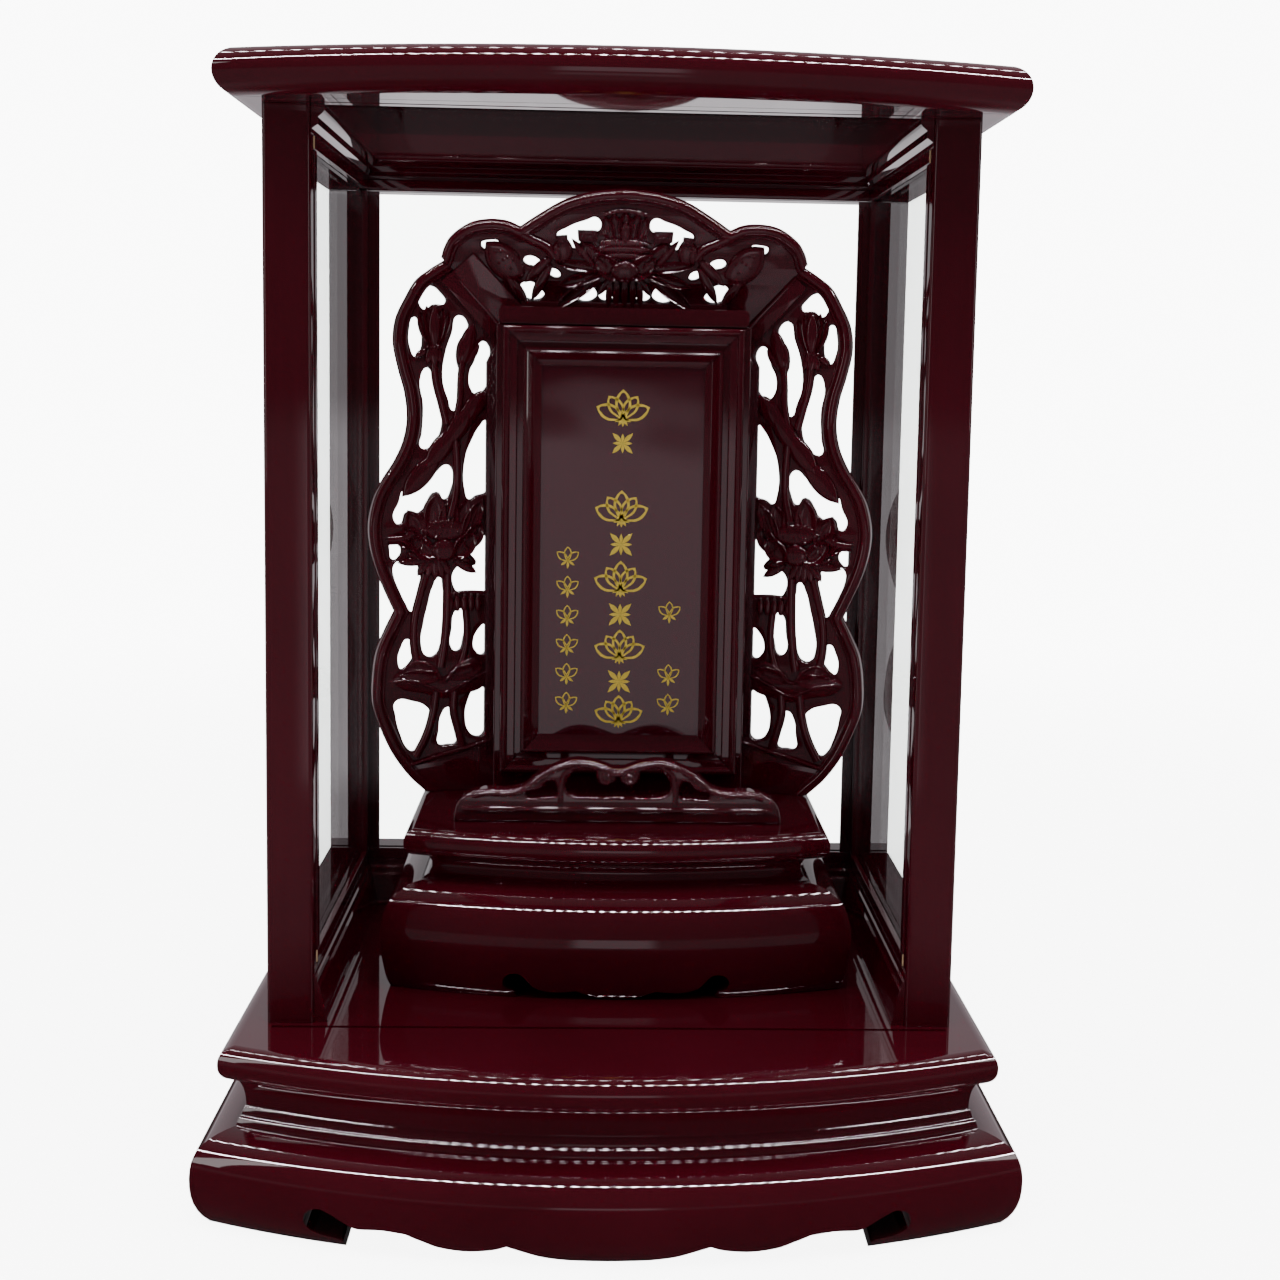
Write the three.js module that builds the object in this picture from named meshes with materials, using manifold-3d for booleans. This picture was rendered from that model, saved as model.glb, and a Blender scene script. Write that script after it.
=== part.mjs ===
// A glazed ancestor shrine: a case of posts, rails and glass on a moulded base with a bowed front,
// and the ancestral tablet that stands loose inside it, framed by pierced lotus carving.
// Millimetres, +Z up, the front faces -Y. While the pieces are made, x = 0 is the middle, y = 0 the
// front faces of the posts and z = 0 the top of the base board. At the end the shrine is set on its feet.
import * as THREE from "three";
import { mergeVertices } from "three/addons/utils/BufferGeometryUtils.js";
import Module from "manifold-3d";

const wasm = await Module();
wasm.setup();

// Fits and cutters
const MITRE_GAP = 0.35;
const SEAT_GAP = 0.3;
const OVERRUN = 40;
const MERGE_DISTANCE = 1e-4;

// Steps along round stretches
const BOW_STEPS = 16;
const NOSE_STEPS = 6;
const CORNER_STEPS = 3;
const SPAN_STEPS = 2;

// Case
const CASE_WIDTH = 363;
const CASE_DEPTH = 251;
const CLEAR_HEIGHT = 475;
const POST_SIZE = 24.5;
const POST_ROUND = 2.5;
const BOTTOM_RAIL_HEIGHT = 36;
const TOP_RAIL_HEIGHT = 21;
const SKIRTING_FLARE = 7;
const SKIRTING_START = 2;
const GLASS = 3;
const BEAD_WIDTH = 7;
const BEAD_THICKNESS = 3;
const BEAD_PROUD = 0.5;
const BEAD_START = 12;

// Base board and cornice
const SIDE_OVERHANG = 18.5;
const REAR_OVERHANG = 6;
const BASE_BOARD = { thickness: 18, front: -80.5, sag: 43, nose: 8 };
const CORNICE = { thickness: 23, front: -62, sag: 34, nose: 11.5 };
const CEILING_FRONT = 4;
const CEILING_GLASS_DROP = 7;
const CEILING_RABBET = 6;
const GROOVE = { width: 3, depth: 2.5, y: -5, endInset: 3.5 };

// Waist and apron under the base board
const WAIST_HEIGHT = 25;
const WAIST_INSET = 13;
const APRON_HEIGHT = 47.5;
const APRON_BULGE = 13;
const APRON_WALL = 18;
const BACK_BOARD = 12;
const GLUE_BLOCK = 30;

// Clearances of the loose tablet in the case
const TABLET_OFFSET = 3;
const TABLET_REAR_GAP = 51;
const PLINTH_SIDE_GAP = 15;
const WING_SIDE_GAP = 1;
const CREST_HEADROOM = 23;

// Tablet plinth. The waist and the board are set in from the apron.
const PLINTH_APRON = { height: 58, front: 34, sag: 23, rear: 200, wall: 16, shoulder: 22 };
const PLINTH_WAIST = { height: 14, inset: 22, front: 60, sag: 18, rear: 192, cove: 5 };
const PLINTH_BOARD = { thickness: 15, inset: 11.5, front: 51, sag: 20, rear: 196, nose: 6 };

// Scroll fence on the plinth board
const FENCE = { inset: 26.5, height: 36.5, front: 92, thickness: 12 };

// Tablet case with its cap and its face
const TABLET_CASE = { halfWidth: 75, front: 148, rear: 188, back: 10 };
const CAP = { inset: 1.5, thickness: 10, front: 145, rear: 190, round: 3 };
const FACE = { inset: 4, low: 18, high: 1, front: 140, width: 23, lip: 17, panelStep: 6, panel: 7 };

// Pierced surround, hinged on the tablet case's rear corners
const FLARE_ANGLE = (15 * Math.PI) / 180;
const CARVED_BOARD = 9;
const CARVING = { ground: 3, root: 1, rim: 12, wingRib: 10, crestRib: 17 };
const CREST = { reach: 35, height: 80 };
const HINGE = { y: 177.2, rise: 1 };
const MITRE = { across: 32, up: 35 };

// Sizes that follow from the ones above
const BOARD_HALF_WIDTH = CASE_WIDTH / 2 + SIDE_OVERHANG;
const GROOVE_HALF = CASE_WIDTH / 2 - GROOVE.endInset;
const POST_INNER_X = CASE_WIDTH / 2 - POST_SIZE;
const REAR_INNER_Y = CASE_DEPTH - POST_SIZE;
const REAR_Y = CASE_DEPTH + REAR_OVERHANG;
const PLINTH_HALF = POST_INNER_X - SKIRTING_FLARE - TABLET_OFFSET - PLINTH_SIDE_GAP;
const PLINTH_BOARD_HALF = PLINTH_HALF - PLINTH_BOARD.inset;
const FENCE_HALF = PLINTH_BOARD_HALF - FENCE.inset;
const FACE_HALF = TABLET_CASE.halfWidth - FACE.inset;
const CREST_HALF = TABLET_CASE.halfWidth + CREST.reach;
const PANE_OFFSET = BEAD_THICKNESS - BEAD_PROUD + SEAT_GAP;
const RABBET_DEPTH = PANE_OFFSET + GLASS + SEAT_GAP;
const RABBET_LOW = BOTTOM_RAIL_HEIGHT - BEAD_WIDTH;
const RABBET_HIGH = CLEAR_HEIGHT - TOP_RAIL_HEIGHT + BEAD_WIDTH;
const WAIST_LOW = -BASE_BOARD.thickness - WAIST_HEIGHT;
const FEET_LOW = WAIST_LOW - APRON_HEIGHT;
const PLINTH_WAIST_TOP = PLINTH_APRON.height + PLINTH_WAIST.height;
const PLINTH_TOP = PLINTH_WAIST_TOP + PLINTH_BOARD.thickness;
const TABLET_TOP = CLEAR_HEIGHT - CREST_HEADROOM - CREST.height;
const FACE_LOW = PLINTH_TOP + FACE.low;
const FACE_HIGH = TABLET_TOP - FACE.high;
const HINGE_Z = TABLET_TOP + HINGE.rise;
const WING_HEIGHT = HINGE_Z + MITRE.up - PLINTH_TOP;
const WING_SPAN = POST_INNER_X - BEAD_PROUD - WING_SIDE_GAP - TABLET_OFFSET - TABLET_CASE.halfWidth;
const WING_WIDTH = (WING_SPAN - CARVED_BOARD * Math.sin(FLARE_ANGLE)) / Math.cos(FLARE_ANGLE);

const lacquer = new THREE.MeshStandardMaterial({ color: 0x3c0a14, roughness: 0.18, metalness: 0 });
const carvedLacquer = new THREE.MeshStandardMaterial({ color: 0x300810, roughness: 0.22, metalness: 0 });
const panelLacquer = new THREE.MeshStandardMaterial({ color: 0x4a0c18, roughness: 0.12, metalness: 0 });
const clearGlass = new THREE.MeshStandardMaterial({
  color: 0xdfe6e2,
  roughness: 0.05,
  metalness: 0,
  transparent: true,
  opacity: 0.25,
});

const shrine = new THREE.Group();
const tablet = new THREE.Group();
tablet.position.set(TABLET_OFFSET, CASE_DEPTH - TABLET_REAR_GAP - PLINTH_APRON.rear, 0);
shrine.add(tablet);

// The geometry as a solid whose faces point out.
function solid(geometry) {
  const bare = new THREE.BufferGeometry();
  bare.setAttribute("position", geometry.getAttribute("position"));
  bare.setIndex(geometry.getIndex());
  const merged = mergeVertices(bare, MERGE_DISTANCE);
  const vertProperties = merged.attributes.position.array;
  const triVerts = new Uint32Array(merged.index.array);
  const body = new wasm.Manifold(new wasm.Mesh({ numProp: 3, vertProperties, triVerts }));
  if (body.volume() > 0) return body;
  return new wasm.Manifold(new wasm.Mesh({ numProp: 3, vertProperties, triVerts: triVerts.reverse() }));
}

function place(group, name, body, material = lacquer) {
  const { vertProperties, triVerts } = body.getMesh();
  const geometry = new THREE.BufferGeometry();
  geometry.setAttribute("position", new THREE.BufferAttribute(vertProperties, 3));
  geometry.setIndex(new THREE.BufferAttribute(triVerts, 1));
  geometry.computeVertexNormals();
  const mesh = new THREE.Mesh(geometry, material);
  mesh.name = name;
  group.add(mesh);
  return mesh;
}

// A piece for the right side, and its mirror image for the left.
function placePair(group, name, body, material) {
  place(group, name + "_right", body, material);
  place(group, name + "_left", body, material).scale.x = -1;
}

function cut(body, ...tools) {
  return tools.reduce((rest, tool) => rest.subtract(tool), body);
}

function board(outline, depth) {
  const shape = new THREE.Shape(outline.map(([a, b]) => new THREE.Vector2(a, b)));
  return new THREE.ExtrudeGeometry(shape, { depth, bevelEnabled: false });
}

// Plan outlines (x, y) raised from low to high, and elevations (x, z) run from front to back.
function upright(outline, low, high) {
  return solid(board(outline, high - low).translate(0, 0, low));
}

function frontal(outline, front, back) {
  return solid(board(outline, back - front).rotateX(Math.PI / 2).translate(0, back, 0));
}

// Elevations (y, z) run from left to right.
function sideways(outline, left, right) {
  const turned = new THREE.Matrix4().makeBasis(
    new THREE.Vector3(0, 1, 0),
    new THREE.Vector3(0, 0, 1),
    new THREE.Vector3(1, 0, 0),
  );
  return solid(board(outline, right - left).applyMatrix4(turned).translate(left, 0, 0));
}

function rectangle(left, right, low, high) {
  return [[left, low], [right, low], [right, high], [left, high]];
}

function roundedRectangle(left, right, low, high, radius) {
  const corners = [[right, high, 0], [left, high, 1], [left, low, 2], [right, low, 3]];
  return corners.flatMap(([x, y, quarter]) => {
    const centreX = x - Math.sign(x - left - radius) * radius;
    const centreY = y - Math.sign(y - low - radius) * radius;
    return Array.from({ length: CORNER_STEPS + 1 }, (_, i) => {
      const angle = ((quarter + i / CORNER_STEPS) * Math.PI) / 2;
      return [centreX + radius * Math.cos(angle), centreY + radius * Math.sin(angle)];
    });
  });
}

// A smooth line through the points, open or closed.
function smooth(points, closed = false) {
  const knots = points.map(([a, b]) => new THREE.Vector3(a, b, 0));
  const line = new THREE.CatmullRomCurve3(knots, closed, "centripetal");
  const spans = closed ? points.length : points.length - 1;
  const samples = line.getPoints(spans * SPAN_STEPS).map(({ x, y }) => [x, y]);
  return closed ? samples.slice(1) : samples;
}

function scaled(shares, width, height, left = 0, low = 0) {
  return shares.map(([a, b]) => [left + a * width, low + b * height]);
}

function mirrored(outline) {
  return outline.map(([a, b]) => [-a, b]).reverse();
}

// A closed skin over rings of equal count. The flat outline of one ring closes both ends.
function skin(rings, outline) {
  const count = outline.length;
  const last = (rings.length - 1) * count;
  const index = [];
  for (let ring = 0; ring < last; ring += count)
    for (let i = 0; i < count; i++) {
      const a = ring + i;
      const b = ring + ((i + 1) % count);
      index.push(a, b, b + count, a, b + count, a + count);
    }
  const flat = outline.map(([a, b]) => new THREE.Vector2(a, b));
  const way = THREE.ShapeUtils.isClockWise(flat) ? -1 : 1;
  for (const face of THREE.ShapeUtils.triangulateShape(flat, [])) {
    const [a, b, c] = face.map((i) => flat[i]);
    const turn = (b.x - a.x) * (c.y - a.y) - (b.y - a.y) * (c.x - a.x);
    const [i, j, k] = turn * way > 0 ? face : [...face].reverse();
    index.push(i, k, j, last + i, last + j, last + k);
  }
  const geometry = new THREE.BufferGeometry();
  geometry.setAttribute("position", new THREE.Float32BufferAttribute(rings.flat(2), 3));
  geometry.setIndex(index);
  return solid(geometry);
}

// A plan with a bowed front: the arc's radius grows by the offset, so every level is concentric.
function bowRadius({ halfWidth, sag }) {
  return (halfWidth ** 2 + sag ** 2) / (2 * sag);
}

function bowPoint(plan, offset, x) {
  const radius = bowRadius(plan);
  return [x, plan.front + radius - Math.sqrt((radius + offset) ** 2 - x ** 2)];
}

function bowOutline(plan, offset) {
  const half = plan.halfWidth + offset;
  const steps = Array.from({ length: BOW_STEPS + 1 }, (_, i) => half * ((2 * i) / BOW_STEPS - 1));
  return [...steps.map((x) => bowPoint(plan, offset, x)), [half, plan.rear], [-half, plan.rear]];
}

// Levels are pairs of an offset from the plan and a height, from low to high.
function bowBody(plan, levels) {
  const rings = levels.map(([offset, z]) => bowOutline(plan, offset).map(([x, y]) => [x, y, z]));
  return skin(rings, bowOutline(plan, 0));
}

function hollowed(body, plan, offset, low, high) {
  const inner = bowOutline({ ...plan, rear: plan.rear + OVERRUN }, offset);
  return cut(body, upright(inner, low - OVERRUN, high + OVERRUN));
}

// Levels round a board's edge: a quarter round at the bottom and at the top.
function noseLevels(low, high, radius) {
  const quarter = Array.from({ length: NOSE_STEPS / 2 + 1 }, (_, i) => (i * Math.PI) / NOSE_STEPS);
  const rounded = quarter.map((angle) => [radius * (Math.sin(angle) - 1), radius * (1 - Math.cos(angle))]);
  const under = rounded.map(([offset, rise]) => [offset, low + rise]);
  const over = rounded.map(([offset, rise]) => [offset, high - rise]).reverse();
  const flat = high - low > 2 * radius;
  return [...under, ...(flat ? over : over.slice(1))];
}

// The front member of a mitred bow front, and the right member that meets it.
function bowCorner(plan, offset) {
  return bowPoint(plan, offset, plan.halfWidth + offset);
}

function frontMember(body, plan, reach, low, high) {
  const [outX, outY] = bowCorner(plan, OVERRUN);
  const [inX, inY] = bowCorner(plan, -reach);
  const far = plan.front - OVERRUN;
  const half = [[outX, far], [outX, outY], [inX, inY]];
  const outline = [...half, ...mirrored(half)].map(([x, y]) => [x, y - MITRE_GAP]);
  return body.intersect(upright(outline, low - OVERRUN, high + OVERRUN));
}

function rightMember(body, plan, reach, low, high) {
  const rear = plan.rear + OVERRUN;
  const [outX, outY] = bowCorner(plan, OVERRUN);
  const [inX, inY] = bowCorner(plan, -reach);
  const outline = [[inX, rear], [inX, inY], [outX, outY], [outX, rear]];
  return body.intersect(upright(outline, low - OVERRUN, high + OVERRUN));
}

// The edge of a moulded apron from its middle to its foot: a scalloped middle, then a hooked foot
// whose teardrop notch opens towards the middle. Shares of the half width and of the height.
const LOBE_SHARES = [[0, 0.02], [0.1, 0.04], [0.16, 0.09], [0.2, 0.16], [0.235, 0.21]];
const SIDE_LOBE_SHARES = [
  [0.235, 0.21], [0.27, 0.15], [0.33, 0.11], [0.39, 0.14], [0.43, 0.21], [0.47, 0.285],
];
const NOTCH_SHARES = [
  [0.595, 0.27], [0.63, 0.34], [0.66, 0.41], [0.69, 0.45], [0.715, 0.41], [0.725, 0.29],
  [0.705, 0.18], [0.67, 0.13], [0.64, 0.12], [0.622, 0.07], [0.63, 0],
];

function underEdge(halfWidth, height, low, lobes, notch = NOTCH_SHARES) {
  const half = [...lobes.flatMap((shares) => smooth(shares).slice(1)), ...smooth(notch)];
  const edge = scaled(half, halfWidth, height, 0, low);
  const below = edge[edge.length - 1][0];
  const middle = scaled([lobes[0][0]], halfWidth, height, 0, low);
  const right = [[below, low - OVERRUN], ...edge.reverse(), ...middle];
  return [...right, ...mirrored(right).slice(1)];
}

// Base board, with the groove that a front glass stands in
const basePlan = { ...BASE_BOARD, halfWidth: BOARD_HALF_WIDTH, rear: REAR_Y };

function grooveCutter(top, bottom) {
  const { width, y } = GROOVE;
  const outline = roundedRectangle(-GROOVE_HALF, GROOVE_HALF, y - width / 2, y + width / 2, width / 2);
  return upright(outline, bottom, top);
}

place(shrine, "base_board", cut(
  bowBody(basePlan, noseLevels(-BASE_BOARD.thickness, 0, BASE_BOARD.nose)),
  grooveCutter(OVERRUN, -GROOVE.depth),
));

// Waist and apron, mitred at the front corners, with a plain board across the back
const WAIST_SHARES = [[0.65, 0], [0.85, 0.2], [1, 0.4], [1, 0.48], [0.69, 1]];
const APRON_SHARES = [
  [0.3, 0], [0.55, 0.07], [0.95, 0.33], [1, 0.55], [0.82, 0.77], [0.3, 0.92], [-0.3, 0.98], [-0.65, 1],
];

const waistLevels = scaled(WAIST_SHARES, -WAIST_INSET, WAIST_HEIGHT, 0, WAIST_LOW);
const apronLevels = scaled(APRON_SHARES, APRON_BULGE, APRON_HEIGHT, 0, FEET_LOW);
const BASE_INNER = WAIST_INSET + APRON_WALL / 2;
const MITRE_REACH = BASE_INNER + OVERRUN;

const waistBody = bowBody(basePlan, waistLevels);
const waistRing = hollowed(waistBody, basePlan, -BASE_INNER, WAIST_LOW, -BASE_BOARD.thickness);
place(shrine, "waist_front", frontMember(waistRing, basePlan, MITRE_REACH, WAIST_LOW, 0));
placePair(shrine, "waist", rightMember(waistRing, basePlan, MITRE_REACH, WAIST_LOW, 0));

const apronRing = hollowed(bowBody(basePlan, apronLevels), basePlan, -BASE_INNER, FEET_LOW, WAIST_LOW);
const apronHalf = BOARD_HALF_WIDTH + APRON_BULGE;
const apronEdge = underEdge(apronHalf, APRON_HEIGHT, FEET_LOW, [LOBE_SHARES, SIDE_LOBE_SHARES]);
place(shrine, "apron_front", cut(
  frontMember(apronRing, basePlan, MITRE_REACH, FEET_LOW, WAIST_LOW),
  frontal(apronEdge, basePlan.front - OVERRUN, OVERRUN),
));

const apronSideFront = bowCorner(basePlan, 0)[1];
const apronSideHalf = (REAR_Y - apronSideFront) / 2;
const sideEdge = underEdge(apronSideHalf, APRON_HEIGHT, FEET_LOW, [SIDE_LOBE_SHARES])
  .map(([y, z]) => [y + apronSideFront + apronSideHalf, z]);
placePair(shrine, "apron", cut(
  rightMember(apronRing, basePlan, MITRE_REACH, FEET_LOW, WAIST_LOW),
  sideways(sideEdge, BOARD_HALF_WIDTH / 2, BOARD_HALF_WIDTH + OVERRUN),
));

const backHalf = BOARD_HALF_WIDTH - BASE_INNER - SEAT_GAP;
const backEdge = underEdge(backHalf, APRON_HEIGHT, FEET_LOW, [SIDE_LOBE_SHARES]);
place(shrine, "base_back", cut(
  frontal(rectangle(-backHalf, backHalf, FEET_LOW, -BASE_BOARD.thickness), REAR_Y - BACK_BOARD, REAR_Y),
  frontal(backEdge, REAR_Y - BACK_BOARD - OVERRUN, REAR_Y + OVERRUN),
));

const BLOCK_HEIGHT = WAIST_HEIGHT + APRON_HEIGHT / 2;
const blockFrontY = bowCorner(basePlan, -BASE_INNER)[1] + SEAT_GAP;
const blockRearY = REAR_Y - BACK_BOARD - SEAT_GAP - GLUE_BLOCK;
for (const [end, y] of [["front", blockFrontY], ["rear", blockRearY]]) {
  const block = rectangle(backHalf - GLUE_BLOCK, backHalf, y, y + GLUE_BLOCK);
  const blockTop = -BASE_BOARD.thickness;
  placePair(shrine, "glue_block_" + end, upright(block, blockTop - BLOCK_HEIGHT, blockTop));
}

// Posts, the front pair rebated for the side glass
const frontPost = upright(
  roundedRectangle(POST_INNER_X, POST_INNER_X + POST_SIZE, 0, POST_SIZE, POST_ROUND),
  0, CLEAR_HEIGHT,
);
const postRebate = upright(
  rectangle(POST_INNER_X - OVERRUN, POST_INNER_X + RABBET_DEPTH, BEAD_START, POST_SIZE + OVERRUN),
  RABBET_LOW, RABBET_HIGH,
);
placePair(shrine, "post_front", cut(frontPost, postRebate));
const rearPost = upright(
  roundedRectangle(POST_INNER_X, POST_INNER_X + POST_SIZE, REAR_INNER_Y, CASE_DEPTH, POST_ROUND),
  0, CLEAR_HEIGHT,
);
placePair(shrine, "post_rear", rearPost);

// Rails. A section is given as distances outwards from the posts' inner faces, and heights.
// The skirting inside flares inwards from the rabbet to its foot, in shares of the flare and height.
const SKIRTING_SHARES = [
  [0.07, 1], [0.07, 0.86], [0.25, 0.83], [0.25, 0.7], [0.45, 0.66], [0.62, 0.45], [0.84, 0.22], [0.86, 0.1],
  [1, 0.08], [1, 0],
];
const CEILING_MOULD_SHARES = [
  [0.07, 0], [0.07, 0.15], [0.5, 0.3], [0.5, 0.55], [0.85, 0.7], [1, 0.8], [1, 1],
];

function railSections(top) {
  const lip = top ? CLEAR_HEIGHT - TOP_RAIL_HEIGHT : BOTTOM_RAIL_HEIGHT;
  const rabbet = top ? RABBET_HIGH : RABBET_LOW;
  const seat = top ? CLEAR_HEIGHT : 0;
  const shares = top ? CEILING_MOULD_SHARES : SKIRTING_SHARES;
  const foot = top ? rabbet : 0;
  const height = Math.abs(rabbet - seat);
  const moulding = scaled(shares, -SKIRTING_FLARE, height, 0, foot);
  return {
    rail: [
      [0, seat], [POST_SIZE, seat], [POST_SIZE, lip], [RABBET_DEPTH, lip], [RABBET_DEPTH, rabbet], [0, rabbet],
    ],
    moulding: [[0, foot], ...(top ? moulding : moulding.reverse()), [0, foot + height]],
  };
}

for (const end of ["bottom", "top"]) {
  const { rail, moulding } = railSections(end === "top");
  const sideRail = skin(
    [POST_SIZE, REAR_INNER_Y].map((y) => rail.map(([out, z]) => [POST_INNER_X + out, y, z])),
    rail,
  );
  const sideMoulding = skin([
    moulding.map(([out, z]) => [POST_INNER_X + out, SKIRTING_START, z]),
    moulding.map(([out, z]) => [POST_INNER_X + out, REAR_INNER_Y + out - MITRE_GAP, z]),
  ], moulding);
  placePair(shrine, end + "_rail", sideRail.add(sideMoulding));
  const rearRail = skin(
    [-POST_INNER_X, POST_INNER_X].map((x) => rail.map(([out, z]) => [x, REAR_INNER_Y + out, z])),
    rail,
  );
  const rearMoulding = skin(
    [-1, 1].map((side) => moulding.map(([out, z]) => [side * (POST_INNER_X + out), REAR_INNER_Y + out, z])),
    moulding,
  );
  place(shrine, end + "_rail_back", rearRail.add(rearMoulding));
}

// Side and rear glass, each held by four beads
const paneLow = RABBET_LOW + SEAT_GAP;
const paneHigh = RABBET_HIGH - SEAT_GAP;
const sidePaneLine = POST_INNER_X + PANE_OFFSET;
const sideStart = BEAD_START + SEAT_GAP;
const rearFace = REAR_INNER_Y - BEAD_PROUD;
const sideEnd = rearFace - SEAT_GAP;
const paneEnd = REAR_INNER_Y - SEAT_GAP;
const rearHalf = POST_INNER_X - SEAT_GAP;
const beadHigh = CLEAR_HEIGHT - TOP_RAIL_HEIGHT;

const sidePane = rectangle(sidePaneLine, sidePaneLine + GLASS, sideStart, paneEnd);
placePair(shrine, "side_glass", upright(sidePane, paneLow, paneHigh), clearGlass);
const rearPaneLine = REAR_INNER_Y + PANE_OFFSET;
const rearPane = rectangle(-rearHalf, rearHalf, rearPaneLine, rearPaneLine + GLASS);
place(shrine, "rear_glass", upright(rearPane, paneLow, paneHigh), clearGlass);

function sideBead(start, end, low, high) {
  const face = POST_INNER_X - BEAD_PROUD;
  return upright(rectangle(face, face + BEAD_THICKNESS, start, end), low, high);
}

function rearBead(left, right, low, high) {
  return upright(rectangle(left, right, rearFace, rearFace + BEAD_THICKNESS), low, high);
}

const uprightLow = BOTTOM_RAIL_HEIGHT + SEAT_GAP;
const uprightHigh = beadHigh - SEAT_GAP;
placePair(shrine, "side_bead_bottom", sideBead(sideStart, sideEnd, paneLow, BOTTOM_RAIL_HEIGHT));
placePair(shrine, "side_bead_top", sideBead(sideStart, sideEnd, beadHigh, paneHigh));
placePair(shrine, "side_bead_front", sideBead(sideStart, sideStart + BEAD_WIDTH, uprightLow, uprightHigh));
placePair(shrine, "side_bead_rear", sideBead(sideEnd - BEAD_WIDTH, sideEnd, uprightLow, uprightHigh));
place(shrine, "rear_bead_bottom", rearBead(-rearHalf, rearHalf, paneLow, BOTTOM_RAIL_HEIGHT));
place(shrine, "rear_bead_top", rearBead(-rearHalf, rearHalf, beadHigh, paneHigh));
placePair(shrine, "rear_bead", rearBead(rearHalf - BEAD_WIDTH, rearHalf, uprightLow, uprightHigh));

// Cornice of four mitred members, rebated for the glass that is dropped in from above
const cornicePlan = { ...CORNICE, halfWidth: BOARD_HALF_WIDTH, rear: REAR_Y };
const corniceTop = CLEAR_HEIGHT + CORNICE.thickness;
const ceilingHalf = POST_INNER_X - SKIRTING_FLARE;
const ceilingRear = REAR_INNER_Y - SKIRTING_FLARE;
const rabbetHalf = ceilingHalf + CEILING_RABBET;
const ceilingGlassTop = corniceTop - CEILING_GLASS_DROP;
const ceilingGlassLow = ceilingGlassTop - GLASS;
const corniceRing = cut(
  bowBody(cornicePlan, noseLevels(CLEAR_HEIGHT, corniceTop, CORNICE.nose)),
  upright(
    rectangle(-ceilingHalf, ceilingHalf, CEILING_FRONT, ceilingRear),
    CLEAR_HEIGHT - OVERRUN, corniceTop + OVERRUN,
  ),
  upright(
    rectangle(-rabbetHalf, rabbetHalf, CEILING_FRONT - CEILING_RABBET, ceilingRear + CEILING_RABBET),
    ceilingGlassLow, corniceTop + OVERRUN,
  ),
  grooveCutter(CLEAR_HEIGHT + GROOVE.depth, CLEAR_HEIGHT - OVERRUN),
);

// The part of the ring between the mitres at two corners, each an outer and an inner point.
function corniceMember(outerA, innerA, innerB, outerB, shift) {
  const beyond = (outer, inner) => {
    const [runX, runY] = [outer[0] - inner[0], outer[1] - inner[1]];
    const reach = (2 * OVERRUN) / Math.hypot(runX, runY);
    return [outer[0] + runX * reach, outer[1] + runY * reach];
  };
  const outline = [beyond(outerA, innerA), innerA, innerB, beyond(outerB, innerB)];
  const moved = outline.map(([x, y]) => [x, y + shift]);
  return corniceRing.intersect(upright(moved, CLEAR_HEIGHT - OVERRUN, corniceTop + OVERRUN));
}

const frontOuter = bowCorner(cornicePlan, 0);
const frontInner = [ceilingHalf, CEILING_FRONT];
const rearOuter = [BOARD_HALF_WIDTH, REAR_Y];
const rearInner = [ceilingHalf, ceilingRear];
const flip = ([x, y]) => [-x, y];
const corniceFront = corniceMember(flip(frontOuter), flip(frontInner), frontInner, frontOuter, -MITRE_GAP);
const corniceRear = corniceMember(flip(rearOuter), flip(rearInner), rearInner, rearOuter, MITRE_GAP);
place(shrine, "cornice_front", corniceFront);
place(shrine, "cornice_rear", corniceRear);
placePair(shrine, "cornice", corniceMember(frontOuter, frontInner, rearInner, rearOuter, 0));

const ceilingPane = rectangle(
  SEAT_GAP - rabbetHalf, rabbetHalf - SEAT_GAP,
  CEILING_FRONT - CEILING_RABBET + SEAT_GAP, ceilingRear + CEILING_RABBET - SEAT_GAP,
);
place(shrine, "ceiling_glass", upright(ceilingPane, ceilingGlassLow, ceilingGlassTop), clearGlass);

// Tablet plinth: a moulded apron, a coved waist and a board with a rounded edge
const PLINTH_APRON_SHARES = [
  [0.26, 0], [0.15, 0.1], [0.03, 0.34], [0, 0.55], [0.11, 0.76], [0.3, 0.88], [0.7, 0.98], [1, 1],
];
const PLINTH_LOBE_SHARES = [
  [0, 0.015], [0.08, 0.03], [0.14, 0.07], [0.17, 0.095], [0.2, 0.08], [0.26, 0.07], [0.31, 0.085],
  [0.35, 0.12],
];
const PLINTH_NOTCH_SHARES = [
  [0.37, 0.17], [0.4, 0.24], [0.44, 0.25], [0.47, 0.2], [0.475, 0.13], [0.455, 0.08], [0.43, 0.06],
  [0.415, 0],
];

const plinthPlan = { ...PLINTH_APRON, halfWidth: PLINTH_HALF };
const plinthLevels = PLINTH_APRON_SHARES.map(([inset, rise]) => [
  -inset * PLINTH_APRON.shoulder,
  SEAT_GAP + rise * (PLINTH_APRON.height - SEAT_GAP),
]);
const plinthInner = PLINTH_APRON.shoulder + PLINTH_APRON.wall / 2;
const plinthReach = plinthInner + OVERRUN;
const plinthBody = bowBody(plinthPlan, plinthLevels);
const plinthRing = hollowed(plinthBody, plinthPlan, -plinthInner, 0, PLINTH_APRON.height);
const plinthEdge = underEdge(
  PLINTH_HALF, PLINTH_APRON.height, SEAT_GAP,
  [PLINTH_LOBE_SHARES], PLINTH_NOTCH_SHARES,
);
place(tablet, "plinth_apron_front", cut(
  frontMember(plinthRing, plinthPlan, plinthReach, 0, PLINTH_APRON.height),
  frontal(plinthEdge, plinthPlan.front - OVERRUN, plinthPlan.front + 2 * OVERRUN),
));
const plinthSide = rightMember(plinthRing, plinthPlan, plinthReach, 0, PLINTH_APRON.height);
placePair(tablet, "plinth_apron", plinthSide);
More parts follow.
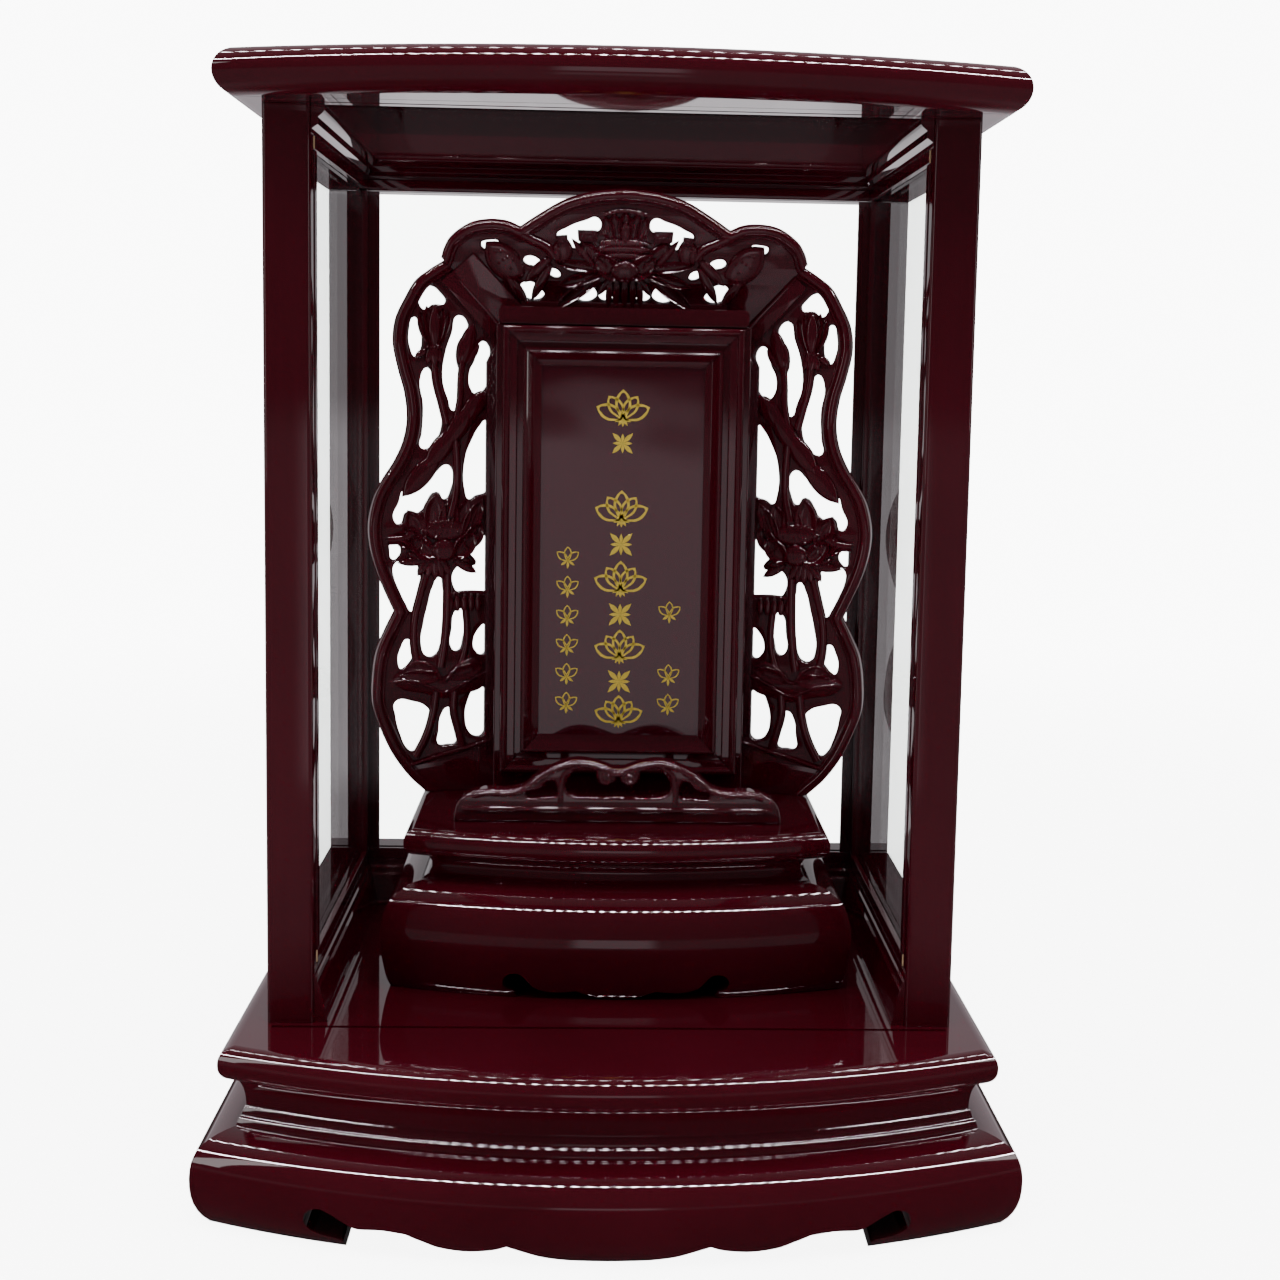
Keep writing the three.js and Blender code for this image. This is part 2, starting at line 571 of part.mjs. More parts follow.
const plinthBackHalf = PLINTH_HALF - plinthInner - SEAT_GAP;
place(tablet, "plinth_apron_back", frontal(
  rectangle(-plinthBackHalf, plinthBackHalf, SEAT_GAP, PLINTH_APRON.height),
  PLINTH_APRON.rear - BACK_BOARD, PLINTH_APRON.rear,
));

const COVE_SHARES = [[0, 0], [0.6, 0.15], [0.95, 0.4], [0.95, 0.6], [0.6, 0.85], [0, 1]];
place(tablet, "plinth_waist", bowBody(
  { ...PLINTH_WAIST, halfWidth: PLINTH_HALF - PLINTH_WAIST.inset },
  scaled(COVE_SHARES, -PLINTH_WAIST.cove, PLINTH_WAIST.height, 0, PLINTH_APRON.height),
));
place(tablet, "plinth_board", bowBody(
  { ...PLINTH_BOARD, halfWidth: PLINTH_BOARD_HALF },
  noseLevels(PLINTH_WAIST_TOP, PLINTH_TOP, PLINTH_BOARD.nose),
));

// Scroll fence: a wave over two scrolls, pierced at the middle and beside each scroll
const FENCE_TOP_SHARES = [
  [1, 0.11], [0.97, 0.33], [0.89, 0.47], [0.81, 0.52], [0.66, 0.52], [0.57, 0.59], [0.5, 0.74], [0.4, 0.89],
  [0.28, 1], [0.17, 0.99], [0.09, 0.93], [0, 0.86],
];
const FENCE_MIDDLE_SHARES = [
  [0, 0.42], [0.2, 0.42], [0.29, 0.45], [0.32, 0.55], [0.29, 0.76], [0.22, 0.88], [0.15, 0.87], [0.12, 0.66],
  [0.07, 0.62], [0.02, 0.66], [0, 0.76],
];
const FENCE_SIDE_SHARES = [
  [0.56, 0.44], [0.48, 0.53], [0.41, 0.67], [0.38, 0.58], [0.38, 0.45], [0.45, 0.41],
];

const fenceSize = [FENCE_HALF, FENCE.height, 0, PLINTH_TOP];
const fenceTop = smooth(scaled(FENCE_TOP_SHARES, ...fenceSize));
const fenceMiddle = smooth(scaled(FENCE_MIDDLE_SHARES, ...fenceSize));
const fenceSide = smooth(scaled(FENCE_SIDE_SHARES, ...fenceSize), true);
const fenceFoot = [[-FENCE_HALF, PLINTH_TOP], [FENCE_HALF, PLINTH_TOP]];
const fenceOutline = [...fenceFoot, ...fenceTop, ...mirrored(fenceTop).slice(1)];
const fenceCentre = [...fenceMiddle, ...mirrored(fenceMiddle).slice(1, -1)];
const fenceOpenings = [fenceCentre, fenceSide, mirrored(fenceSide)];
place(tablet, "scroll_fence", cut(
  frontal(fenceOutline, FENCE.front, FENCE.front + FENCE.thickness),
  ...fenceOpenings.map((opening) => frontal(opening, FENCE.front - OVERRUN, FENCE.front + OVERRUN)),
));

// Tablet case, hollow for the written slips, and its cap
const pocketHalf = FACE_HALF - FACE.lip;
const pocketLow = FACE_LOW + FACE.lip;
const pocketHigh = FACE_HIGH - FACE.lip;
place(tablet, "tablet_case", cut(
  frontal(
    rectangle(-TABLET_CASE.halfWidth, TABLET_CASE.halfWidth, PLINTH_TOP, TABLET_TOP),
    TABLET_CASE.front, TABLET_CASE.rear,
  ),
  frontal(
    rectangle(-pocketHalf, pocketHalf, pocketLow, pocketHigh),
    TABLET_CASE.front - OVERRUN, TABLET_CASE.rear - TABLET_CASE.back,
  ),
));
const capHalf = TABLET_CASE.halfWidth - CAP.inset;
const capOutline = roundedRectangle(-capHalf, capHalf, TABLET_TOP, TABLET_TOP + CAP.thickness, CAP.round);
place(tablet, "tablet_cap", frontal(capOutline, CAP.front, CAP.rear));

// Face of the tablet: four mitred members round a panel that pushes into the case.
// The section runs inwards from the outer edge and backwards from the front.
const faceBack = TABLET_CASE.front - SEAT_GAP;
const faceDepth = faceBack - FACE.front;
const FACE_SHARES = [
  [0, 0.25], [0.04, 0.06], [0.1, 0], [0.16, 0.06], [0.19, 0.25], [0.37, 0.25], [0.38, 0.5], [0.54, 0.5],
  [0.56, 0.12], [0.62, 0.1], [0.82, 0.5], [0.88, 0.55], [1, 0.6],
];
const panelFront = FACE.front + FACE.panelStep;
const faceSection = [
  ...FACE_SHARES.map(([inward, back]) => [inward * FACE.width, FACE.front + back * faceDepth]),
  [FACE.width, panelFront - SEAT_GAP],
  [FACE.lip, panelFront - SEAT_GAP],
  [FACE.lip, faceBack],
  [0, faceBack],
];

function faceMember(start, end, inwardStart, inwardEnd, pull) {
  const ring = ([x, z], [inX, inZ], side) => faceSection.map(([inward, y]) => [
    x + inX * inward - side * pull[0] * MITRE_GAP,
    y,
    z + inZ * inward - side * pull[1] * MITRE_GAP,
  ]);
  return skin([ring(start, inwardStart, -1), ring(end, inwardEnd, 1)], faceSection);
}

const leftLow = [-FACE_HALF, FACE_LOW];
const rightLow = [FACE_HALF, FACE_LOW];
const leftHigh = [-FACE_HALF, FACE_HIGH];
const rightHigh = [FACE_HALF, FACE_HIGH];
place(tablet, "face_top", faceMember(leftHigh, rightHigh, [1, -1], [-1, -1], [1, 0]));
place(tablet, "face_bottom", faceMember(leftLow, rightLow, [1, 1], [-1, 1], [1, 0]));
placePair(tablet, "face_side", faceMember(rightLow, rightHigh, [-1, 1], [-1, -1], [0, 0]));
place(tablet, "face_panel", frontal(
  rectangle(SEAT_GAP - pocketHalf, pocketHalf - SEAT_GAP, pocketLow + SEAT_GAP, pocketHigh - SEAT_GAP),
  panelFront, panelFront + FACE.panel,
), panelLacquer);

// Pierced lotus wings and crest. Outlines and openings are shares of the board's width and height,
// the wing's from its hinge outwards and from the plinth up, the crest's from its middle and its hinge.
const WING_UPPER_SHARES = [
  [0.44, 1], [0.54, 0.984], [0.64, 0.964], [0.72, 0.931], [0.79, 0.894], [0.81, 0.85], [0.77, 0.801],
  [0.72, 0.757], [0.7, 0.71], [0.73, 0.667], [0.8, 0.629], [0.89, 0.595], [0.96, 0.561], [1, 0.514],
  [0.99, 0.47], [0.94, 0.424], [0.87, 0.383], [0.8, 0.346],
];
const WING_LOWER_SHARES = [
  [0.8, 0.346], [0.87, 0.312], [0.94, 0.271], [0.97, 0.221], [0.97, 0.171], [0.91, 0.125], [0.81, 0.072],
  [0.69, 0.031], [0.56, 0],
];
const WING_BORDER_SHARES = [
  [-0.1, 0.09], [0.1, 0.087], [0.67, 0.053], [1.1, 0.053], [1.1, -0.1], [-0.1, -0.1],
];
const WING_OPENING_SHARES = [
  [[0.41, 0.925], [0.45, 0.944], [0.52, 0.955], [0.59, 0.949], [0.62, 0.928], [0.57, 0.911], [0.51, 0.921]],
  [[0.23, 0.885], [0.31, 0.902], [0.36, 0.869], [0.41, 0.832], [0.43, 0.782], [0.39, 0.748],
    [0.34, 0.724], [0.29, 0.741], [0.28, 0.785], [0.32, 0.822], [0.29, 0.854]],
  [[0.07, 0.804], [0.08, 0.852], [0.13, 0.854], [0.18, 0.819], [0.22, 0.798], [0.21, 0.766],
    [0.17, 0.757], [0.08, 0.773]],
  [[0.59, 0.857], [0.61, 0.885], [0.65, 0.897], [0.69, 0.875], [0.68, 0.838], [0.64, 0.824], [0.6, 0.838]],
  [[0.51, 0.794], [0.55, 0.804], [0.6, 0.788], [0.58, 0.732], [0.59, 0.682], [0.6, 0.656],
    [0.55, 0.653], [0.47, 0.671], [0.43, 0.707], [0.45, 0.748]],
  [[0.08, 0.573], [0.07, 0.657], [0.09, 0.707], [0.13, 0.699], [0.2, 0.67], [0.25, 0.636],
    [0.25, 0.573], [0.22, 0.558], [0.16, 0.565]],
  [[0.35, 0.614], [0.4, 0.623], [0.47, 0.611], [0.56, 0.587], [0.64, 0.579], [0.72, 0.579],
    [0.77, 0.551], [0.81, 0.523], [0.76, 0.511], [0.71, 0.533], [0.61, 0.533], [0.47, 0.572],
    [0.41, 0.558], [0.36, 0.576]],
  [[0.08, 0.483], [0.12, 0.494], [0.21, 0.46], [0.16, 0.435], [0.23, 0.431], [0.32, 0.427],
    [0.33, 0.389], [0.27, 0.379], [0.11, 0.375]],
  [[0.75, 0.464], [0.82, 0.483], [0.84, 0.464], [0.81, 0.444], [0.77, 0.449]],
  [[0.59, 0.402], [0.65, 0.439], [0.72, 0.438], [0.79, 0.439], [0.79, 0.399], [0.72, 0.364],
    [0.65, 0.344], [0.6, 0.364]],
  [[0.25, 0.327], [0.28, 0.35], [0.32, 0.346], [0.35, 0.312], [0.35, 0.274], [0.3, 0.268], [0.26, 0.29]],
  [[0.42, 0.389], [0.45, 0.41], [0.5, 0.393], [0.54, 0.358], [0.57, 0.327], [0.59, 0.28],
    [0.55, 0.26], [0.49, 0.259], [0.43, 0.287], [0.4, 0.327]],
  [[0.08, 0.277], [0.09, 0.318], [0.13, 0.312], [0.18, 0.283], [0.16, 0.268], [0.1, 0.26]],
  [[0.66, 0.28], [0.7, 0.293], [0.75, 0.277], [0.77, 0.246], [0.74, 0.235], [0.69, 0.245], [0.65, 0.262]],
  [[0.08, 0.128], [0.09, 0.195], [0.16, 0.195], [0.22, 0.171], [0.24, 0.14], [0.21, 0.112],
    [0.15, 0.101], [0.1, 0.104]],
  [[0.32, 0.115], [0.34, 0.153], [0.38, 0.16], [0.43, 0.146], [0.45, 0.115], [0.45, 0.089],
    [0.37, 0.087], [0.31, 0.09]],
  [[0.51, 0.146], [0.56, 0.164], [0.65, 0.173], [0.79, 0.174], [0.79, 0.146], [0.75, 0.109],
    [0.7, 0.084], [0.65, 0.076], [0.59, 0.093], [0.54, 0.115]],
];
const CREST_ARCH_SHARES = [[0.57, 0.71], [0.45, 0.82], [0.32, 0.92], [0.16, 0.98], [0, 1]];
const CREST_SHOULDER_SHARES = [
  [1, 0.47], [0.98, 0.55], [0.95, 0.62], [0.89, 0.69], [0.82, 0.74], [0.73, 0.76], [0.64, 0.75], [0.57, 0.71],
];
const CREST_OPENING_SHARES = [
  [[0.37, 0.65], [0.31, 0.72], [0.22, 0.77], [0.15, 0.79], [0.14, 0.7], [0.24, 0.68], [0.25, 0.59],
    [0.28, 0.56], [0.31, 0.62]],
  [[0.78, 0.58], [0.74, 0.61], [0.68, 0.59], [0.73, 0.53]],
  [[0.55, 0.47], [0.52, 0.5], [0.45, 0.44], [0.45, 0.41], [0.49, 0.42], [0.54, 0.44]],
  [[0.42, 0.39], [0.4, 0.41], [0.35, 0.36], [0.36, 0.34], [0.4, 0.35]],
  [[0.57, 0.26], [0.55, 0.3], [0.5, 0.3], [0.45, 0.24], [0.44, 0.2], [0.55, 0.19]],
  [[0.26, 0.19], [0.25, 0.24], [0.2, 0.28], [0.16, 0.25], [0.16, 0.19]],
  [[0.14, 0.2], [0.11, 0.25], [0.08, 0.25], [0.06, 0.21], [0.07, 0.18]],
];
const ROOT_SHARE = 0.05;

// Carving: each petal, bud, leaf or length of branch is its foot, its tip, half its breadth and its
// rise, as shares of the board's width and height, of its width, and of the depth of the ground.
const WING_FLOWER_SHARES = [
  [0.49, 0.49, 0.48, 0.57, 0.09, 0.6], [0.38, 0.49, 0.33, 0.56, 0.09, 0.5],
  [0.3, 0.485, 0.13, 0.56, 0.07, 0.6],
  [0.57, 0.48, 0.69, 0.54, 0.07, 0.6], [0.61, 0.47, 0.8, 0.5, 0.07, 0.5],
  [0.29, 0.465, 0.13, 0.51, 0.06, 0.7],
  [0.26, 0.5, 0.57, 0.5, 0.07, 0.7], [0.5, 0.45, 0.66, 0.49, 0.07, 1],
  [0.34, 0.45, 0.17, 0.495, 0.07, 1],
  [0.42, 0.44, 0.42, 0.483, 0.085, 1], [0.49, 0.452, 0.49, 0.405, 0.12, 0.7],
  [0.51, 0.442, 0.77, 0.44, 0.04, 0.6], [0.34, 0.442, 0.17, 0.42, 0.04, 0.6],
];
const WING_BUD_SHARES = [
  [0.46, 0.85, 0.39, 0.91, 0.06, 0.6], [0.54, 0.85, 0.61, 0.91, 0.06, 0.6],
  [0.5, 0.85, 0.5, 0.92, 0.06, 1],
  [0.5, 0.86, 0.5, 0.816, 0.07, 0.8], [0.28, 0.813, 0.195, 0.885, 0.06, 0.8],
  [0.1, 0.36, 0.39, 0.36, 0.06, 0.8],
];
const WING_LEAF_SHARES = [
  [0.41, 0.193, 0.1, 0.252, 0.08, 0.9], [0.4, 0.193, 0.77, 0.22, 0.08, 0.9],
  [0.24, 0.181, 0.73, 0.187, 0.05, 0.6],
  [0, 0.757, 0.34, 0.69, 0.085, 0.9], [0.27, 0.707, 0.61, 0.607, 0.085, 0.9],
  [0.49, 0.64, 0.71, 0.564, 0.085, 0.7],
];
const CREST_MIDDLE_SHARES = [
  [0, 0.63, 0, 0.83, 0.055, 0.7], [-0.14, 0.575, 0.14, 0.575, 0.05, 0.8],
  [0, 0.35, 0, 0.11, 0.08, 0.8],
  [0, 0.325, 0, 0.49, 0.075, 1],
];
const CREST_SIDE_SHARES = [
  [0.045, 0.63, 0.11, 0.81, 0.045, 0.5], [0.11, 0.5, 0.23, 0.675, 0.045, 0.6],
  [0.055, 0.35, 0.145, 0.525, 0.05, 1],
  [0.09, 0.36, 0.345, 0.19, 0.045, 0.8], [0.13, 0.41, 0.38, 0.35, 0.036, 0.6],
  [0.336, 0.46, 0.336, 0.65, 0.05, 0.8],
  [0.57, 0.34, 0.745, 0.59, 0.08, 0.8],
];
const PETAL_SHARES = [[0, 0.5], [0.35, 1], [0.75, 0.75]];
const PETAL_FRONT_SHARE = 0.6;

const caseSide = TABLET_CASE.halfWidth;
const hinge = new THREE.Vector3(caseSide, HINGE.y, HINGE_Z);
const wingOut = new THREE.Vector3(Math.cos(FLARE_ANGLE), -Math.sin(FLARE_ANGLE), 0);
const crestUp = new THREE.Vector3(0, -Math.sin(FLARE_ANGLE), Math.cos(FLARE_ANGLE));
const wingFront = new THREE.Vector3().crossVectors(wingOut, new THREE.Vector3(0, 0, 1));
const crestFront = new THREE.Vector3().crossVectors(new THREE.Vector3(1, 0, 0), crestUp);

function petal([footX, footY, tipX, tipY, breadth, rise], width, height) {
  const foot = new THREE.Vector2(footX * width, footY * height);
  const run = new THREE.Vector2(tipX * width, tipY * height).sub(foot);
  const side = new THREE.Vector2(-run.y, run.x).setLength(breadth * width);
  const point = (along, out, share) => foot.clone()
    .addScaledVector(run, (1 + (2 * along - 1) * share) / 2)
    .addScaledVector(side, out * share)
    .toArray();
  const outline = (share) => [
    ...PETAL_SHARES.map(([along, out]) => point(along, -out, share)),
    point(1, 0, share),
    ...[...PETAL_SHARES].reverse().map(([along, out]) => point(along, out, share)),
  ];
  const ring = (share, level) => outline(share).map(([x, y]) => [x, y, level]);
  const sunk = -CARVING.ground - CARVING.root;
  return skin([ring(1, sunk), ring(PETAL_FRONT_SHARE, (rise - 1) * CARVING.ground)], outline(1));
}

// A strip beside a mitre that runs up from the hinge's place, on the side that the sign gives.
function ribStrip([x, y], run, sign, breadth) {
  const length = Math.hypot(...run);
  const [alongX, alongY] = run.map((part) => (part * WING_HEIGHT) / length);
  const [outX, outY] = [(sign * run[1] * breadth) / length, (-sign * run[0] * breadth) / length];
  const edge = [[x + outX - alongX, y + outY - alongY], [x + outX + alongX, y + outY + alongY]];
  return [...edge, ...edge.map(([a, b]) => [a - 2 * outX, b - 2 * outY]).reverse()];
}

// A pierced board behind its front face, laid along two directions from its hinge. Its ground is cut
// back inside the rim and outside the plain parts, and the petals stand on the ground.
function carved(outline, plain, openings, petals, along, up, front, start) {
  const lie = new THREE.Matrix4().makeBasis(along, up, front).setPosition(start);
  const plate = (edge, back, forward) => solid(board(edge, back + forward).translate(0, 0, -back));
  const flat = (edge) => new wasm.CrossSection([edge], "NonZero");
  const ground = plain.reduce((rest, edge) => rest.subtract(flat(edge)), flat(outline).offset(-CARVING.rim))
    .extrude(CARVING.ground + OVERRUN)
    .translate([0, 0, -CARVING.ground]);
  const cutters = openings.map((opening) => plate(opening, CARVED_BOARD + OVERRUN, OVERRUN));
  const bare = cut(plate(outline, CARVED_BOARD, 0), ground, ...cutters);
  return petals.reduce((rest, body) => rest.add(body), bare).transform(lie.elements);
}

// The half of space beyond a plane, as far as it matters here.
function beyondPlane(point, normal) {
  const size = CREST_HALF * 2 + WING_HEIGHT;
  const turn = new THREE.Quaternion().setFromUnitVectors(new THREE.Vector3(0, 0, 1), normal);
  const block = new THREE.BoxGeometry(size, size, size).translate(0, 0, size / 2);
  return solid(block.applyQuaternion(turn).translate(point.x, point.y, point.z));
}

const mitreLine = new THREE.Vector3(
  MITRE.across, -Math.tan(FLARE_ANGLE) * (MITRE.across + MITRE.up) / 2, MITRE.up,
);
const mitreNormal = new THREE.Vector3()
  .crossVectors(new THREE.Vector3().addVectors(wingFront, crestFront), mitreLine)
  .normalize();
if (mitreNormal.z < 0) mitreNormal.negate();
const mitrePoint = (side) => hinge.clone().addScaledVector(mitreNormal, (side * MITRE_GAP) / 2);

const wingOutline = [
  ...smooth(scaled(WING_UPPER_SHARES, WING_WIDTH, WING_HEIGHT)),
  ...smooth(scaled(WING_LOWER_SHARES, WING_WIDTH, WING_HEIGHT)).slice(1),
  ...scaled([[-ROOT_SHARE, 0], [-ROOT_SHARE, 1]], WING_WIDTH, WING_HEIGHT),
];
const wingHoles = WING_OPENING_SHARES
  .map((shares) => smooth(scaled(shares, WING_WIDTH, WING_HEIGHT), true));
const wingPetals = [...WING_FLOWER_SHARES, ...WING_BUD_SHARES, ...WING_LEAF_SHARES]
  .map((shares) => petal(shares, WING_WIDTH, WING_HEIGHT));
const wingRib = ribStrip([0, WING_HEIGHT - MITRE.up], [MITRE.across, MITRE.up], 1, CARVING.wingRib);
const wingBorder = scaled(WING_BORDER_SHARES, WING_WIDTH, WING_HEIGHT);
const wingFoot = new THREE.Vector3(hinge.x, hinge.y, PLINTH_TOP + SEAT_GAP);
const wingBoard = cut(
  carved(
    wingOutline, [wingRib, wingBorder], wingHoles, wingPetals,
    wingOut, new THREE.Vector3(0, 0, 1), wingFront, wingFoot,
  ),
  beyondPlane(mitrePoint(-1), mitreNormal),
  sideways(
    rectangle(0, TABLET_CASE.rear + OVERRUN, 0, TABLET_TOP + CREST.height),
    -caseSide, caseSide + SEAT_GAP,
  ),
);
placePair(tablet, "wing", wingBoard, carvedLacquer);

const crestHalfTop = [
  ...smooth(scaled(CREST_SHOULDER_SHARES, CREST_HALF, CREST.height)),
  ...smooth(scaled(CREST_ARCH_SHARES, CREST_HALF, CREST.height)).slice(1),
];
const crestFoot = [[-CREST_HALF, 0], [CREST_HALF, 0]];
const crestOutline = [...crestFoot, ...crestHalfTop, ...mirrored(crestHalfTop).slice(1)];
const crestHalfHoles = CREST_OPENING_SHARES
  .map((shares) => smooth(scaled(shares, CREST_HALF, CREST.height), true));
const crestPetals = [
  ...CREST_SIDE_SHARES,
  ...CREST_SIDE_SHARES.map(([footX, footY, tipX, ...rest]) => [-footX, footY, -tipX, ...rest]),
  ...CREST_MIDDLE_SHARES,
].map((shares) => petal(shares, CREST_HALF, CREST.height));
const crestRib = ribStrip([caseSide, 0], [MITRE.across, MITRE.up], -1, CARVING.crestRib);
const leftMitre = ({ x, y, z }) => new THREE.Vector3(-x, y, z);
const crestBoard = cut(
  carved(
    crestOutline, [crestRib, mirrored(crestRib)],
    [...crestHalfHoles, ...crestHalfHoles.map(mirrored)], crestPetals,
    new THREE.Vector3(1, 0, 0), crestUp, crestFront, new THREE.Vector3(0, hinge.y, hinge.z),
  ),
  beyondPlane(mitrePoint(1), mitreNormal.clone().negate()),
  beyondPlane(leftMitre(mitrePoint(1)), leftMitre(mitreNormal).negate()),
  sideways(
    rectangle(0, TABLET_CASE.rear + OVERRUN, 0, TABLET_TOP + CAP.thickness + SEAT_GAP),
    -caseSide - SEAT_GAP, caseSide + SEAT_GAP,
  ),
);
place(tablet, "crest", crestBoard, carvedLacquer);

// The shrine stands on its feet, with the middle of its depth on the origin.
const frontmost = basePlan.front - APRON_BULGE;
shrine.position.set(0, -(frontmost + REAR_Y) / 2, -FEET_LOW);

export default shrine;
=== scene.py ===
from math import asin, cos, radians, sin, sqrt, tan

import bpy
from mathutils import Matrix, Vector


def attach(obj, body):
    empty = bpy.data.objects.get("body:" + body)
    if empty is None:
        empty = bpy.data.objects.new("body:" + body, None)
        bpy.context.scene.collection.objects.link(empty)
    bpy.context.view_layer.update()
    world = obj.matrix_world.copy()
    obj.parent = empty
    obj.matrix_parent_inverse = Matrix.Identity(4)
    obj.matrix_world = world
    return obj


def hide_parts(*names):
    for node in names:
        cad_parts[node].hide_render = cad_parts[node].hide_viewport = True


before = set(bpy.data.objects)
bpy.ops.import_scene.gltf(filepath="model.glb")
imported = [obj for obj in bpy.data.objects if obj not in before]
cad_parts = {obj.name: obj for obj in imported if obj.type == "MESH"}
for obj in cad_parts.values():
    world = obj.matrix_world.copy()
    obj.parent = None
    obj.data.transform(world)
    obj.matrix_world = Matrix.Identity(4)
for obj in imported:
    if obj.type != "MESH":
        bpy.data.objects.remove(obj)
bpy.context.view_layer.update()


# The photograph's view
# A camera about a metre in front of the case, at the height of the tablet's upper half. Its place,
# turn and lens were fitted to the straight edges of the posts, the boards and the tablet.
MM = 0.001
FRONT_OF_POSTS = -81.75
TOP_OF_BASE_BOARD = 90.5


def spot(x, y, z):
    """A place in the case in millimetres: across from the middle, back from the posts, up from the board."""
    return Vector((x, y + FRONT_OF_POSTS, z + TOP_OF_BASE_BOARD)) * MM


EYE = spot(-7.893, -950.151, 343.858)
PAN, TILT, ROLL = 0.035867, 0.115898, 0.018582
LENS_PIXELS, CENTRE_PIXELS, PHOTO_PIXELS = 1850, (668, 590), 1280
SENSOR = 36
NEAREST, FARTHEST = 0.05, 50

ahead = Vector((sin(PAN) * cos(TILT), cos(PAN) * cos(TILT), -sin(TILT)))
level = Vector((cos(PAN), -sin(PAN), 0))
upward = level.cross(ahead)
right_hand = level * cos(ROLL) + upward * sin(ROLL)
overhead = upward * cos(ROLL) - level * sin(ROLL)
view = Matrix((right_hand, overhead, -ahead)).transposed().to_4x4()
view.translation = EYE

bpy.ops.object.camera_add()
camera = bpy.context.object
camera.name = "photo_camera"
camera.matrix_world = view
camera.data.sensor_width = SENSOR
camera.data.lens = LENS_PIXELS / PHOTO_PIXELS * SENSOR
camera.data.shift_x = (PHOTO_PIXELS / 2 - CENTRE_PIXELS[0]) / PHOTO_PIXELS
camera.data.shift_y = (CENTRE_PIXELS[1] - PHOTO_PIXELS / 2) / PHOTO_PIXELS
camera.data.clip_start = NEAREST
camera.data.clip_end = FARTHEST
bpy.context.scene.camera = camera


# Studio floor and surroundings
# A round pale table top thins out into white surroundings. What the lacquer mirrors is a darker room
# instead, with a low window, a lit patch of floor and two rows of small ceiling lamps.
FLOOR_REACH, FLOOR_SIDES = 2.6, 96
FLOOR_FADE, MIRRORED_FADE = (0.75, 2.2), (0.4, 0.62)
TABLE_GLOW, MIRRORED_GLOW, SEEN_WHITE = 7.0, 0.05, 10.0
SMOOTH = "SMOOTHSTEP"


class Reading:
    """One value of a shader. Sums, products and comparisons of readings add their Math nodes."""

    def __init__(self, finish, socket):
        self.finish = finish
        self.socket = socket

    def math(self, operation, first, second):
        return self.finish.node("ShaderNodeMath", {"operation": operation}, {0: first, 1: second})

    def __add__(self, other):
        return self.math("ADD", self, other)

    def __mul__(self, other):
        return self.math("MULTIPLY", self, other)

    def __sub__(self, other):
        return self.math("SUBTRACT", self, other)

    def __rsub__(self, other):
        return self.math("SUBTRACT", other, self)

    def __truediv__(self, other):
        return self.math("DIVIDE", self, other)

    def __pow__(self, other):
        return self.math("POWER", self, other)

    def __lt__(self, other):
        return self.math("LESS_THAN", self, other)

    def __gt__(self, other):
        return self.math("GREATER_THAN", self, other)

    def __abs__(self):
        return self.math("ABSOLUTE", self, 0)

    def from_nearest(self, spacing):
        """The distance from the nearest multiple of the spacing."""
        return self.math("PINGPONG", self, spacing / 2)

    def rise(self, start, end, curve="LINEAR"):
        """0 up to the start and 1 from the end on, with a straight or a smooth rise between them."""
        return self.finish.node(
            "ShaderNodeMapRange", {"interpolation_type": curve},
            {"Value": self, "From Min": start, "From Max": end},
        )

    __radd__ = __add__
    __rmul__ = __mul__


class Finish:
    """The shader of a material or of the surroundings. Each of its nodes is added by node()."""

    def __init__(self, owner):
        owner.use_nodes = True
        self.tree = owner.node_tree
        self.tree.nodes.clear()

    def node(self, kind, settings=None, inputs=None, output=0):
        made = self.tree.nodes.new(kind)
        for name, value in (settings or {}).items():
            setattr(made, name, value)
        for name, value in (inputs or {}).items():
            if isinstance(value, Reading):
                self.tree.links.new(value.socket, made.inputs[name])
            else:
                made.inputs[name].default_value = value
        return Reading(self, made.outputs[output]) if made.outputs else made

    def noise(self, vector, scale, detail, **more):
        inputs = {"Vector": vector, "Scale": scale, "Detail": detail, **more}
        return self.node("ShaderNodeTexNoise", inputs=inputs)

    def blend(self, factor, first, second):
        """A colour between the first one and the second one."""
        return self.node(
            "ShaderNodeMix", {"data_type": "RGBA"}, {"Factor": factor, 6: first, 7: second}, output=2,
        )

    def bump(self, strength, distance, height, **more):
        inputs = {"Strength": strength, "Distance": distance, "Height": height, **more}
        return self.node("ShaderNodeBump", inputs=inputs)

    def mix(self, factor, first, second):
        return self.node("ShaderNodeMixShader", inputs={0: factor, 1: first, 2: second})

    def close(self, surface, kind="ShaderNodeOutputMaterial"):
        self.node(kind, inputs={"Surface": surface})


table_paint = bpy.data.materials.new("pale_table")
paint = Finish(table_paint)
where = paint.node("ShaderNodeTexCoord", output="Object")
far = paint.node("ShaderNodeVectorMath", {"operation": "LENGTH"}, {0: where}, output="Value")
mottle = paint.noise(where, 7.0, 3.0)
chalk = paint.blend(mottle, (0.86, 0.86, 0.86, 1), (0.9, 0.9, 0.895, 1))
pale = paint.node("ShaderNodeBsdfPrincipled", inputs={"Base Color": chalk, "Roughness": 0.85})
paper_white = paint.node("ShaderNodeEmission", inputs={"Color": (1, 1, 1, 1), "Strength": TABLE_GLOW})
bright = paint.node("ShaderNodeAddShader", inputs={0: pale, 1: paper_white})
shaded_table = paint.node(
    "ShaderNodeEmission", inputs={"Color": (1, 0.94, 0.97, 1), "Strength": MIRRORED_GLOW},
)
watched = paint.node("ShaderNodeLightPath", output="Is Camera Ray")
glossed = paint.node("ShaderNodeLightPath", output="Is Glossy Ray")
lit = paint.mix(watched, pale, bright)
clear = paint.node("ShaderNodeBsdfTransparent")
